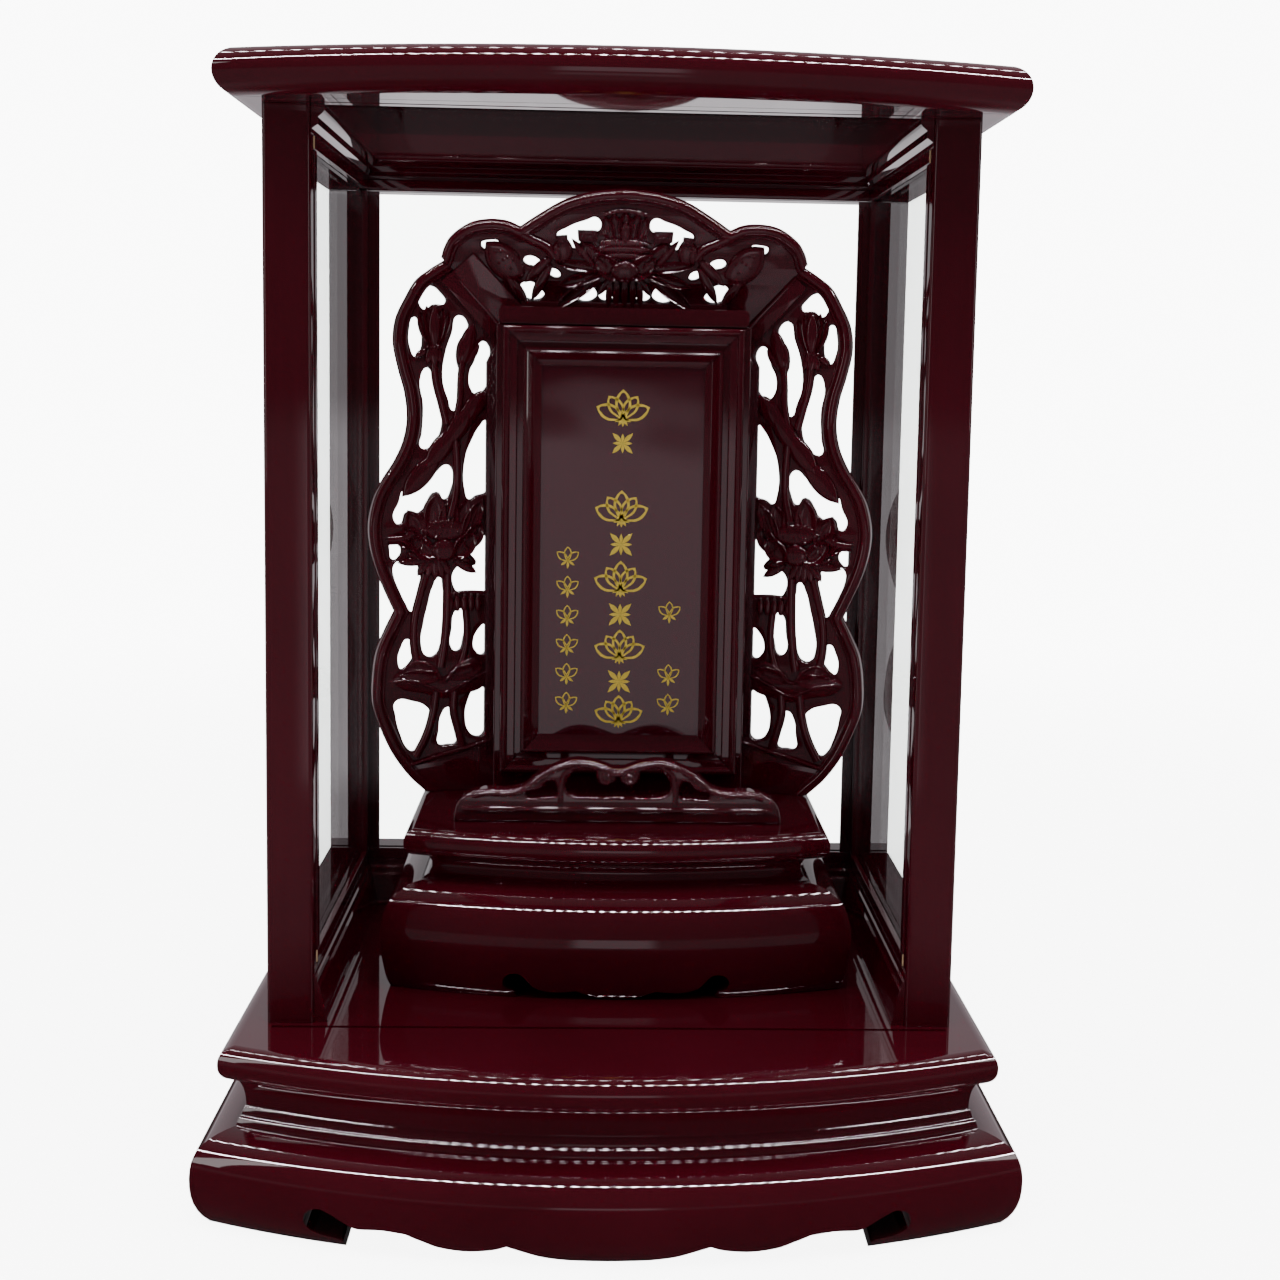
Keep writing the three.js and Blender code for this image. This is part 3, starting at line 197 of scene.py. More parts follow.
mirrored_table = paint.mix(far.rise(*MIRRORED_FADE, SMOOTH), shaded_table, clear)
top = paint.mix(glossed, lit, mirrored_table)
paint.close(paint.mix(far.rise(*FLOOR_FADE, SMOOTH), top, clear))

bpy.ops.object.select_all(action="DESELECT")
bpy.ops.mesh.primitive_circle_add(vertices=FLOOR_SIDES, radius=FLOOR_REACH, fill_type="NGON")
table = bpy.context.object
table.name = "table_top"
table.data.materials.append(table_paint)

world = bpy.data.worlds.new("white_studio")
bpy.context.scene.world = world
air = Finish(world)
way = air.node("ShaderNodeTexCoord", output="Generated")
way_across, way_back, way_up = (
    air.node("ShaderNodeSeparateXYZ", inputs={0: way}, output=axis) for axis in ("X", "Y", "Z")
)
behind = way_back.rise(-0.3, 0.5)
glow = behind * 0.55 + way_up.rise(0.1, 0.8) * 0.35 + 0.18

low = way_up.rise(-0.01, -0.04, SMOOTH)
straight_ahead = abs(way_across).rise(0.16, 0.1, SMOOTH)
low_window = low * way_up.rise(-0.228, -0.208, SMOOTH) * 0.62
lit_floor = way_up.rise(-0.3, -0.42, SMOOTH) * way_up.rise(-0.58, -0.44, SMOOTH) * 0.28
room = 0.07 + low * 0.10 + straight_ahead * (low_window + lit_floor) + behind * 0.35

LAMP_SPACING, LAMP_HALF_WIDTH, LAMP_HALF_DEPTH = 0.027, 0.0046, 0.02
LOWEST_LAMP, ROW_REACH = 0.05, 1.2
ROW_SLANTS, ROW_STRENGTHS = (radians(66), radians(106)), (330, 90)
for slant, lamp_strength in zip(ROW_SLANTS, ROW_STRENGTHS):
    aside = abs(way_back * sin(slant) + way_up * cos(slant))
    along_row = way_across * sin(slant) / way_up
    lamp_here = (aside < LAMP_HALF_DEPTH) * (along_row.from_nearest(LAMP_SPACING) < LAMP_HALF_WIDTH)
    room = room + lamp_here * (way_up > LOWEST_LAMP) * (abs(along_row) < ROW_REACH) * lamp_strength

seen = air.node("ShaderNodeLightPath", output="Is Camera Ray")
glossy = air.node("ShaderNodeLightPath", output="Is Glossy Ray")
tint = air.blend(glossy, (1, 1, 1, 1), (1, 0.91, 0.97, 1))
strength = seen * SEEN_WHITE + (1 - seen) * (glossy * room + (1 - glossy) * glow)
air.close(
    air.node("ShaderNodeBackground", inputs={"Color": tint, "Strength": strength}),
    "ShaderNodeOutputWorld",
)


# Lamps
# A broad soft lamp overhead and one at the front left that light the wood without a mirror image,
# and a narrow one at each side whose upright reflections show along the mouldings.
HEART = spot(0, 100, 200)
# Name, place, size, power, and whether the lacquer mirrors it
LAMPS = [
    ("overhead_lamp", (0, -0.4, 2.3), (2.4, 1.6), 84, False),
    ("left_fill", (-2.0, -1.8, 1.3), (1.4, 1.6), 11, False),
    ("left_strip", (-1.9, -1.2, 1.0), (0.22, 1.6), 4, True),
    ("right_strip", (2.1, -1.0, 1.1), (0.2, 1.6), 4, True),
]

for name, place, size, power, shows in LAMPS:
    bpy.ops.object.light_add(type="AREA", location=place)
    lamp = bpy.context.object
    lamp.name = name
    lamp.rotation_euler = (HEART - Vector(place)).to_track_quat("-Z", "Y").to_euler()
    lamp.data.shape = "RECTANGLE"
    lamp.data.size, lamp.data.size_y = size
    lamp.data.energy = power
    lamp.visible_glossy = shows


# Base board
# One board of hardwood sawn to a bowed front, its front and ends rounded over, with a stopped groove
# for a front glass. Like the rest it is sprayed with oxblood lacquer and polished to a high gloss.
BOARD_HALF = 200.0
BOARD_REAR = 257.0
BASE_THICKNESS = 18.0
BASE_FRONT, BASE_SAG, BASE_NOSE = -80.5, 43.0, 8.2
GROOVE_HALF, GROOVE_WIDTH, GROOVE_DEPTH, GROOVE_PLACE = 178.0, 3.0, 2.5, -5.0
BOW_STEPS = 72
HAIR, DOUBLE, LINE_GAP = 0.1 * MM, 0.01 * MM, 0.02 * MM
OVERRUN = 5.0
OXBLOOD, BRIGHT_OXBLOOD = (0.031, 0.0010, 0.0036, 1), (0.045, 0.0016, 0.0055, 1)
ALONG_GRAIN, ACROSS_GRAIN = 14, 420


def only(piece):
    """Makes the piece the one selected object."""
    bpy.ops.object.select_all(action="DESELECT")
    piece.select_set(True)
    bpy.context.view_layer.objects.active = piece


def settle(piece):
    """Puts the object at the origin, with its place in its mesh."""
    only(piece)
    bpy.ops.object.transform_apply(location=True, rotation=True, scale=True)


def select(piece, kind, test):
    """In edit mode, selects the edges, tested by their two ends, or the faces that pass the test."""
    bpy.ops.mesh.select_mode(type=kind)
    bpy.ops.mesh.select_all(action="DESELECT")
    bpy.ops.object.mode_set(mode="OBJECT")
    if kind == "EDGE":
        for edge in piece.data.edges:
            edge.select = test(*(piece.data.vertices[i].co for i in edge.vertices))
    else:
        for face in piece.data.polygons:
            face.select = test(face)
    bpy.ops.object.mode_set(mode="EDIT")


def begin(name, place):
    """A piece that starts as one point, ready to be drawn out in edit mode."""
    bpy.ops.object.select_all(action="DESELECT")
    bpy.ops.mesh.primitive_plane_add(size=MM, location=place)
    piece = bpy.context.object
    piece.name = name
    bpy.ops.object.transform_apply(location=True, rotation=False, scale=False)
    bpy.ops.object.mode_set(mode="EDIT")
    bpy.ops.mesh.select_mode(type="VERT")
    bpy.ops.mesh.merge(type="CENTER")
    return piece


def draw(start, places):
    """In edit mode, draws a line from the start through the places."""
    for place in places:
        bpy.ops.mesh.extrude_region_move(TRANSFORM_OT_translate={"value": place - start})
        start = place


def close_line():
    """Joins the end of a drawn line to its start."""
    bpy.ops.mesh.select_all(action="SELECT")
    bpy.ops.mesh.remove_doubles(threshold=LINE_GAP)


def plank(name, outline, reach):
    """A solid from a flat outline, drawn out by the reach."""
    piece = begin(name, outline[0])
    draw(outline[0], outline[1:] + outline[:1])
    close_line()
    bpy.ops.mesh.edge_face_add()
    bpy.ops.mesh.extrude_region_move(TRANSFORM_OT_translate={"value": reach})
    bpy.ops.mesh.select_all(action="SELECT")
    bpy.ops.mesh.normals_make_consistent(inside=False)
    bpy.ops.object.mode_set(mode="OBJECT")
    return piece


def shape_with(piece, kind, **settings):
    """Adds a modifier and applies it."""
    only(piece)
    modifier = piece.modifiers.new(kind.lower(), kind)
    for name, value in settings.items():
        setattr(modifier, name, value)
    bpy.ops.object.modifier_apply(modifier=modifier.name)


def cut_out(piece, cutter):
    """Takes the cutter's space out of the piece."""
    shape_with(piece, "BOOLEAN", operation="DIFFERENCE", solver="EXACT", object=cutter)
    bpy.data.objects.remove(cutter)


def bow_radius(half, sag):
    """The radius of a bow from half its width and its depth."""
    return (half * half + sag * sag) / (2 * sag)


def bowed_board(name, half, front, sag, rear, low, high, nose, nose_steps=8):
    """A board sawn to a bowed front, then rounded along its front and its ends."""
    radius = bow_radius(half, sag)
    corner = spot(half, front + sag, low)
    piece = begin(name, corner)
    bpy.ops.mesh.spin(
        steps=BOW_STEPS, angle=2 * asin(half / radius), center=spot(0, front + radius, low),
        axis=(0, 0, 1),
    )
    draw(spot(-half, front + sag, low), [spot(-half, rear, low), spot(half, rear, low), corner])
    close_line()
    bpy.ops.mesh.edge_face_add()
    bpy.ops.mesh.extrude_region_move(TRANSFORM_OT_translate={"value": (0, 0, (high - low) * MM)})
    bpy.ops.mesh.select_all(action="SELECT")
    bpy.ops.mesh.normals_make_consistent(inside=False)
    back = spot(0, rear, 0).y - HAIR
    select(piece, "EDGE", lambda a, b: abs(a.z - b.z) < HAIR and min(a.y, b.y) < back)
    bpy.ops.mesh.bevel(offset=nose * MM, segments=nose_steps, profile=0.5, clamp_overlap=False)
    bpy.ops.mesh.select_all(action="SELECT")
    bpy.ops.mesh.remove_doubles(threshold=DOUBLE)
    bpy.ops.object.mode_set(mode="OBJECT")
    return piece


def lacquer(
    name, grain, deep=OXBLOOD, bright=BRIGHT_OXBLOOD, gloss=0.02, punched=False, ripples=0.04, waves=0.0,
):
    """Oxblood lacquer over wood whose grain runs along one axis, punched all over or in slow waves."""
    made = bpy.data.materials.new(name)
    coat = Finish(made)
    where = coat.node("ShaderNodeTexCoord", output="Object")
    stretch = [ALONG_GRAIN if axis == grain else ACROSS_GRAIN for axis in "xyz"]
    stretched = coat.node("ShaderNodeMapping", inputs={"Vector": where, "Scale": stretch})
    fibre = coat.noise(stretched, 1.0, 4.0, Roughness=0.6)
    cloud = coat.noise(where, 11.0, 3.0)
    ripple = coat.noise(where, 260.0, 1.0)
    tone = (fibre * 0.35 + cloud * 0.65).rise(0.3, 0.7)
    colour = coat.blend(tone, deep, bright)
    sheen = gloss + cloud * 0.03 + fibre * 0.015
    surface = coat.bump(ripples, 0.0002, ripple * 0.85 + fibre * 0.15)
    if waves:
        surface = coat.bump(1.0, waves, coat.noise(where, 13.0, 1.0), Normal=surface)
    if punched:
        dots = coat.node("ShaderNodeTexVoronoi", inputs={"Vector": where, "Scale": 620.0})
        surface = coat.bump(0.9, 0.0009, dots, Normal=surface)
    coat.close(coat.node("ShaderNodeBsdfPrincipled", inputs={
        "Base Color": colour,
        "Roughness": sheen,
        "Normal": surface,
        "IOR": 1.45,
        "Coat Weight": 0.8,
        "Coat Roughness": 0.02,
        "Coat IOR": 1.4,
    }))
    return made


lacquer_across = lacquer("lacquer_grain_across", "x")
lacquer_deep = lacquer("lacquer_grain_front_to_back", "y")
lacquer_up = lacquer("lacquer_grain_upright", "z")


def hand_over(piece, nodes, body, slot, material, angle=32, flat_faces=True):
    """Gives a finished piece its material and its place in the frame, and shades its curves smooth."""
    only(piece)
    if material:
        piece.data.materials.clear()
        piece.data.materials.append(material)
    bpy.ops.object.shade_smooth_by_angle(angle=radians(angle))
    if flat_faces:
        shape_with(piece, "WEIGHTED_NORMAL", keep_sharp=True, weight=80)
    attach(piece, body)
    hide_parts(*nodes)


def groove_cutter(low, high):
    """The space of the stopped groove for a front glass."""
    outline = [
        spot(GROOVE_HALF * side, GROOVE_PLACE + GROOVE_WIDTH / 2 * back, low)
        for side, back in ((-1, -1), (1, -1), (1, 1), (-1, 1))
    ]
    return plank("groove_cutter", outline, Vector((0, 0, (high - low) * MM)))


base_board = bowed_board(
    "base_board_piece", BOARD_HALF, BASE_FRONT, BASE_SAG, BOARD_REAR, -BASE_THICKNESS, 0, BASE_NOSE,
)
cut_out(base_board, groove_cutter(-GROOVE_DEPTH, 2 * OVERRUN))
hand_over(base_board, ["base_board"], "case", "lacquer", lacquer_across)


# Waist and apron of the base
# Moulded lengths of hardwood under the board, mitred and glued at the front corners. The front
# lengths are bowed, and a bandsaw cut the scallops and hooked feet out of the apron's lower edge.
FEET_LOW, BASE_INNER = -90.5, 22.0
BELOW_FEET, PAST_MITRE, PAST_MITRE_TURN = 20.0, 30.0, radians(4)
APRON_EDGE, APRON_ANGLE = 0.9, 38
CURVED = {"angle": 40, "flat_faces": False}
WAIST_SECTION = [
    (-8.5, -43), (-8.7, -41.6), (-9.6, -39.4), (-11, -38), (-11.3, -36.5), (-12.2, -34.2), (-13, -33.2),
    (-13, -31), (-12.6, -27), (-11.6, -23), (-10.2, -20), (-9, -18),
]
APRON_SECTION = [
    (3.9, -90.5), (5.6, -88.6), (7.2, -86.8), (9.3, -83.4), (11.1, -79.4), (12.3, -75), (12.9, -70),
    (13.0, -65), (12.6, -60.5), (11.9, -57), (10.7, -54), (8.9, -51.2), (6.5, -48.8), (3.6, -46.9),
    (0, -45.2), (-4, -43.9), (-8.4, -43.0),
]
FRONT_SCALLOPS = [
    [(0, -89.4), (20, -88.8), (33, -86.5), (42, -83.3), (50, -80.5)],
    [(50, -80.5), (57, -83.2), (70, -85.3), (83, -84), (92, -80.6), (100, -77.4)],
]
HOOK_MOUTH = [
    (100, -77.4), (112, -76.6), (124.2, -77.5), (130, -75.2), (137, -71.4), (144, -69), (150, -71.5),
    (151.6, -77), (148, -82), (141, -84.4), (135, -85.2), (131.6, -87), (130.6, -90.5),
]
FRONT_CUT, FRONT_CUT_DEPTH = -140.0, 160.0


def between(p, q, r, s, t):
    """Where a smooth line is on its way from q to r, when it comes from p and goes on to s."""
    return 0.5 * (
        2 * q + (r - p) * t + (2 * p - 5 * q + 4 * r - s) * t * t + (3 * q - p - 3 * r + s) * t ** 3
    )


def eased(places, steps=6, closed=False):
    """A smooth line through the places, as a spline is bent round pins."""
    count = len(places)
    spans = count if closed else count - 1
    line = []
    for span in range(spans):
        before, a, b, after = (
            places[i % count] if closed else places[min(max(i, 0), count - 1)]
            for i in (span - 1, span, span + 1, span + 2)
        )
        for step in range(steps):
            line.append(tuple(between(*four, step / steps) for four in zip(before, a, b, after)))
    return line if closed else line + [tuple(places[-1])]


def under_edge(lobes, notch, low):
    """The space below a scalloped edge with hooked feet, across the whole width."""
    edge = [point for lobe in lobes for point in eased(lobe)[:-1]] + eased(notch)
    below = low - BELOW_FEET
    right = edge + [(edge[-1][0], below)]
    return [(-x, z) for x, z in right[::-1]] + right[1:]


def mitre_plane(half, front, sag):
    """A place on the right front mitre, and the direction square to it that leaves the front length."""
    radius = bow_radius(half, sag)
    slope = (radius - half) / sqrt(radius ** 2 - half ** 2)
    return spot(half, front + sag, 0), Vector((slope, 1, 0)).normalized()


def mirrored(vector):
    """The same place or direction on the left."""
    return Vector((-vector.x, vector.y, vector.z))


def trim(piece, place, direction):
    """Saws off what lies beyond a plane and closes the cut."""
    only(piece)
    bpy.ops.object.mode_set(mode="EDIT")
    bpy.ops.mesh.select_all(action="SELECT")
    bpy.ops.mesh.bisect(plane_co=place, plane_no=direction, use_fill=True, clear_outer=True)
    bpy.ops.object.mode_set(mode="OBJECT")


def bowed_length(name, section, half, front, sag):
    """A moulding bent round the bow and mitred at both ends. The section is offsets and heights."""
    radius = bow_radius(half, sag)
    start = asin(half / radius) + PAST_MITRE_TURN
    hub = front + radius
    points = [
        spot(sin(start) * (radius + out), hub - cos(start) * (radius + out), z) for out, z in section
    ]
    piece = begin(name, points[0])
    draw(points[0], points[1:] + points[:1])
    close_line()
    bpy.ops.mesh.spin(steps=BOW_STEPS, angle=2 * start, center=spot(0, hub, 0), axis=(0, 0, 1))
    bpy.ops.mesh.select_all(action="SELECT")
    bpy.ops.mesh.normals_make_consistent(inside=False)
    bpy.ops.object.mode_set(mode="OBJECT")
    place, direction = mitre_plane(half, front, sag)
    trim(piece, place, direction)
    trim(piece, mirrored(place), mirrored(direction))
    return piece


def side_length(name, section, half, front, sag, rear):
    """The right-hand moulding, mitred where it meets the front one."""
    start = front + sag - PAST_MITRE
    outline = [spot(half + out, start, z) for out, z in section]
    piece = plank(name, outline, Vector((0, (rear - start) * MM, 0)))
    place, direction = mitre_plane(half, front, sag)
    trim(piece, place, -direction)
    return piece


def twin(piece, name):
    """The piece's mirror image on the left, with a mesh of its own."""
    only(piece)
    bpy.ops.object.duplicate()
    left = bpy.context.object
    left.name = name
    bpy.ops.object.mode_set(mode="EDIT")
    bpy.ops.mesh.select_all(action="SELECT")
    bpy.ops.transform.mirror(
        orient_type="GLOBAL", constraint_axis=(True, False, False), center_override=(0, 0, 0),
    )
    bpy.ops.mesh.normals_make_consistent(inside=False)
    bpy.ops.object.mode_set(mode="OBJECT")
    return left


def walled(section, inner):
    """The section with a flat back."""
    return section + [(-inner, section[-1][1]), (-inner, section[0][1])]


def ease_edges(piece, width, limit=50):
    """Rounds the edges that turn by more than the limit."""
    shape_with(
        piece, "BEVEL", width=width * MM, segments=2, limit_method="ANGLE", angle_limit=radians(limit),
    )


base_bow = (BOARD_HALF, BASE_FRONT, BASE_SAG)
waist_section = walled(eased(WAIST_SECTION, 3), BASE_INNER)
waist_front = bowed_length("waist_front_piece", waist_section, *base_bow)
hand_over(waist_front, ["waist_front"], "case", "lacquer", lacquer_across, **CURVED)
waist_right = side_length("waist_right_piece", waist_section, *base_bow, BOARD_REAR)
waist_left = twin(waist_right, "waist_left_piece")
hand_over(waist_right, ["waist_right"], "case", "lacquer", lacquer_deep, **CURVED)
hand_over(waist_left, ["waist_left"], "case", "lacquer", lacquer_deep, **CURVED)

apron_section = walled(APRON_SECTION, BASE_INNER)
apron_front = bowed_length("apron_front_piece", apron_section, *base_bow)
front_edge = under_edge(FRONT_SCALLOPS, HOOK_MOUTH, FEET_LOW)
cut_out(apron_front, plank(
    "scallop_cutter", [spot(x, FRONT_CUT, z) for x, z in front_edge], Vector((0, FRONT_CUT_DEPTH * MM, 0)),
))
ease_edges(apron_front, APRON_EDGE)
hand_over(apron_front, ["apron_front"], "case", "lacquer", lacquer_across, APRON_ANGLE)

SIDE_MIDDLE = (BOARD_REAR + BASE_FRONT + BASE_SAG) / 2
SIDE_SCALLOP = [[(34.6, -80.5), (39.8, -83.4), (48.6, -85.3), (57.4, -83.9), (63.3, -80.5), (69.2, -77)]]
SIDE_MOUTH = [
    (69.2, -77), (78, -76.9), (87.6, -77.7), (92.8, -74.4), (97.2, -71), (101.6, -69.1), (105.3, -71),
    (106.8, -76.7), (103.8, -82), (98.7, -84.3), (94.2, -84.8), (91.6, -87.2), (92.8, -90.5),
]
SIDE_CUT, SIDE_CUT_DEPTH = 100.0, 140.0
apron_right = side_length("apron_right_piece", apron_section, *base_bow, BOARD_REAR)
side_edge = under_edge(SIDE_SCALLOP, SIDE_MOUTH, FEET_LOW)
cut_out(apron_right, plank(
    "side_scallop_cutter", [spot(SIDE_CUT, SIDE_MIDDLE + y, z) for y, z in side_edge],
    Vector((SIDE_CUT_DEPTH * MM, 0, 0)),
))
ease_edges(apron_right, APRON_EDGE)
apron_left = twin(apron_right, "apron_left_piece")
hand_over(apron_right, ["apron_right"], "case", "lacquer", lacquer_deep, APRON_ANGLE)
hand_over(apron_left, ["apron_left"], "case", "lacquer", lacquer_deep, APRON_ANGLE)


# Back board and glue blocks of the base
# The back is a plain board with the same scallop, and four bare softwood blocks are glued into the
# corners behind the aprons, where only someone who turns the case over sees them.
FLAT_TURN = radians(0.5)
CORNERS = ("front_left", "front_right", "rear_left", "rear_right")


def dressed(node, body, slot, material, rounding=0.4, limit=40, angle=32):
    """A copy of a straight CAD piece, its flat faces joined and its sharp edges rounded as with a plane."""
    only(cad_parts[node])
    bpy.ops.object.duplicate()
    piece = bpy.context.object
    piece.name = node + "_piece"
    piece.parent = None
    for key in list(piece.keys()):
        del piece[key]
    bpy.ops.object.mode_set(mode="EDIT")
    bpy.ops.mesh.select_all(action="SELECT")
    bpy.ops.mesh.remove_doubles(threshold=DOUBLE)
    bpy.ops.mesh.dissolve_limited(angle_limit=FLAT_TURN)
    bpy.ops.object.mode_set(mode="OBJECT")
    ease_edges(piece, rounding, limit)
    hand_over(piece, [node], body, slot, material, angle)
    return piece


raw_wood = bpy.data.materials.new("bare_softwood")
sawn = Finish(raw_wood)
sawn_where = sawn.node("ShaderNodeTexCoord", output="Object")
sawn_long = sawn.node("ShaderNodeMapping", inputs={"Vector": sawn_where, "Scale": (300, 300, 25)})
sawn_grain = sawn.noise(sawn_long, 1.0, 5.0)
sawn.close(sawn.node("ShaderNodeBsdfPrincipled", inputs={
    "Base Color": sawn.blend(sawn_grain, (0.36, 0.22, 0.11, 1), (0.62, 0.45, 0.27, 1)),
    "Roughness": 0.75 - sawn_grain * 0.15,
    "Normal": sawn.bump(0.5, 0.0004, sawn_grain),
}))

dressed("base_back", "case", "lacquer", lacquer_across)
for corner in CORNERS:
    dressed("glue_block_" + corner, "case", "raw_wood", raw_wood, rounding=0.8)


# Posts
# Four square posts, their long edges rounded, stand on the base board and carry the cornice. The
# front pair is rebated behind its face for the side glass and its beads.
for corner in CORNERS:
    dressed("post_" + corner, "case", "lacquer", lacquer_up, rounding=0.3)


# Rails with their mouldings
# Between the posts run a bottom rail with a fluted skirting and a top rail with a stepped ceiling
# moulding, at the back and at both sides, all planed from the solid.
MOULDED = {"rounding": 0.25, "limit": 28, "angle": 28}

for height in ("bottom", "top"):
    dressed(f"{height}_rail_back", "case", "lacquer", lacquer_across, **MOULDED)
    for side in ("left", "right"):
        dressed(f"{height}_rail_{side}", "case", "lacquer", lacquer_deep, **MOULDED)


# Side and rear glass
# Three panes of 3 mm float glass. Seen square on they are almost clear, and they catch the light of
# the room at a slant.
pane_glass = bpy.data.materials.new("float_glass")
pane = Finish(pane_glass)
pane_turn = pane.node("ShaderNodeLayerWeight", inputs={"Blend": 0.5}, output="Facing")
pane_slant = 0.04 + 0.9 * pane_turn ** 5
pane_where = pane.node("ShaderNodeTexCoord", output="Object")
pane_bow = pane.bump(0.05, 0.0004, pane.noise(pane_where, 9.0, 1.0))
pane_clear = pane.node("ShaderNodeBsdfTransparent", inputs={"Color": (0.93, 0.95, 0.94, 1)})
pane_shine = pane.node("ShaderNodeBsdfGlossy", inputs={"Roughness": 0.02, "Normal": pane_bow})
pane.close(pane.mix(pane_slant, pane_clear, pane_shine))

for node in ("side_glass_left", "side_glass_right", "rear_glass"):
    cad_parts[node].material_slots[0].material = pane_glass


# Glazing beads
# Thin square strips pinned inside the glass, lacquered with the case but for their sawn front ends,
# which show as two pale squares beside each front post.
BEAD_EDGE = 0.25
SQUARE_ON = 0.9

for side in ("left", "right"):
    for bead in ("bottom", "top"):
        strip = dressed(f"side_bead_{bead}_{side}", "case", "lacquer", lacquer_deep, BEAD_EDGE)
        strip.data.materials.append(raw_wood)
        foremost = min(corner.co.y for corner in strip.data.vertices)
        for face in strip.data.polygons:
            if face.normal.y < -SQUARE_ON and face.center.y < foremost + HAIR:
                face.material_index = 1
    for bead in ("front", "rear"):
        dressed(f"side_bead_{bead}_{side}", "case", "lacquer", lacquer_up, BEAD_EDGE)
    dressed(f"rear_bead_{side}", "case", "lacquer", lacquer_up, BEAD_EDGE)
for bead in ("bottom", "top"):
    dressed(f"rear_bead_{bead}", "case", "lacquer", lacquer_across, BEAD_EDGE)


# Cornice
# Four lengths with a full half-round edge, mitred round the ceiling opening and rebated on top for
# a pane that lets daylight in. The front length is bowed like the base board, but stands back a little.
CORNICE_LOW, CORNICE_HIGH = 475.0, 498.0
CORNICE_FRONT, CORNICE_SAG, CORNICE_NOSE = -62.0, 34.0, 11.49
CEILING_HALF, CEILING_FRONT, CEILING_REAR = 150.0, 4.0, 219.5
CEILING_RABBET, RABBET_LEVEL = 6.0, 488.0
CEILING_CUT = 40.0

cornice_ring = bowed_board(
    "cornice_front_piece", BOARD_HALF, CORNICE_FRONT, CORNICE_SAG, BOARD_REAR, CORNICE_LOW, CORNICE_HIGH,
    CORNICE_NOSE, nose_steps=10,
)
for margin, low in ((0, CORNICE_LOW - OVERRUN), (CEILING_RABBET, RABBET_LEVEL)):
    left, right = -CEILING_HALF - margin, CEILING_HALF + margin
    near, back = CEILING_FRONT - margin, CEILING_REAR + margin
    cut_out(cornice_ring, plank(
        "ceiling_cutter",
        [spot(left, near, low), spot(right, near, low), spot(right, back, low), spot(left, back, low)],
        Vector((0, 0, CEILING_CUT * MM)),
    ))
cut_out(cornice_ring, groove_cutter(CORNICE_LOW - OVERRUN, CORNICE_LOW + GROOVE_DEPTH))


def copy_of(piece, name):
    """A copy with a mesh of its own."""
    only(piece)
    bpy.ops.object.duplicate()
    bpy.context.object.name = name
    return bpy.context.object


front_outer = spot(BOARD_HALF, CORNICE_FRONT + CORNICE_SAG, 0)
front_run = front_outer - spot(CEILING_HALF, CEILING_FRONT, 0)
past_front = Vector((-front_run.y, front_run.x, 0)).normalized()
rear_outer = spot(BOARD_HALF, BOARD_REAR, 0)
rear_run = rear_outer - spot(CEILING_HALF, CEILING_REAR, 0)
past_side = Vector((-rear_run.y, rear_run.x, 0)).normalized()

cornice_rear = copy_of(cornice_ring, "cornice_rear_piece")
trim(cornice_rear, rear_outer, -past_side)
trim(cornice_rear, mirrored(rear_outer), -mirrored(past_side))
cornice_right = copy_of(cornice_ring, "cornice_right_piece")
trim(cornice_right, front_outer, -past_front)
trim(cornice_right, rear_outer, past_side)
cornice_left = twin(cornice_right, "cornice_left_piece")
trim(cornice_ring, front_outer, past_front)
trim(cornice_ring, mirrored(front_outer), mirrored(past_front))
hand_over(cornice_ring, ["cornice_front"], "case", "lacquer", lacquer_across)
hand_over(cornice_rear, ["cornice_rear"], "case", "lacquer", lacquer_across)
hand_over(cornice_right, ["cornice_right"], "case", "lacquer", lacquer_deep)
hand_over(cornice_left, ["cornice_left"], "case", "lacquer", lacquer_deep)


# Ceiling glass
# A pane laid loose in the cornice's rebate. From above one looks through it. At a flat slant a near-black
# film, a painted shade, keeps the white surroundings from showing through, so that it shows little but its
# own shine; a faint mottle of dust varies that shine.
dust_and_shade_glass = bpy.data.materials.new("float_glass_dust_and_painted_shade")
dusty = Finish(dust_and_shade_glass)
dusty_where = dusty.node("ShaderNodeTexCoord", output="Object")
dust = dusty.noise(dusty_where, 30.0, 4.0)
dusty_turn = dusty.node("ShaderNodeLayerWeight", inputs={"Blend": 0.5}, output="Facing")
dusty_slant = 0.05 + 0.8 * dusty_turn ** 5 + dust * 0.05
clean_pane = dusty.node("ShaderNodeBsdfTransparent", inputs={"Color": (0.85, 0.86, 0.85, 1)})
# Painted shade: seen at a flat slant, almost nothing shows through the pane
painted_shade_film = dusty.node("ShaderNodeBsdfTransparent", inputs={"Color": (0.022, 0.022, 0.021, 1)})
clear_or_painted_shade = dusty.mix(dusty_turn.rise(0.7, 0.86, SMOOTH), clean_pane, painted_shade_film)
dusty_shine = dusty.node("ShaderNodeBsdfGlossy", inputs={"Roughness": 0.05})
dusty.close(dusty.mix(dusty_slant, clear_or_painted_shade, dusty_shine))
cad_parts["ceiling_glass"].material_slots[0].material = dust_and_shade_glass


# Tablet plinth
# The loose tablet stands on a small stepped base of its own: a bowed apron with hooked feet, a coved
# waist, and a board with a rounded edge, set 3 mm off the middle of the case.
TABLET_OFFSET = 3.0
PLINTH_BOW = (132.0, 34.0, 23.0)
PLINTH_REAR, PLINTH_INNER, PLINTH_LOW, PLINTH_TOP = 200.0, 30.0, 0.3, 87.0
PLINTH_BOARD = {
    "half": 120.5, "front": 51.0, "sag": 20.0, "rear": 196.0, "low": 72.0, "high": PLINTH_TOP, "nose": 6.5,
}
PLINTH_CUT_DEPTH, PLINTH_EDGE = 110.0, 0.8
PLINTH_SECTION = eased([
    (-5.7, 0.3), (-3.3, 6.1), (-0.7, 19.9), (0, 32), (-2.4, 44.2), (-6.6, 51.1), (-15.4, 56.8), (-22, 58),
], 3)
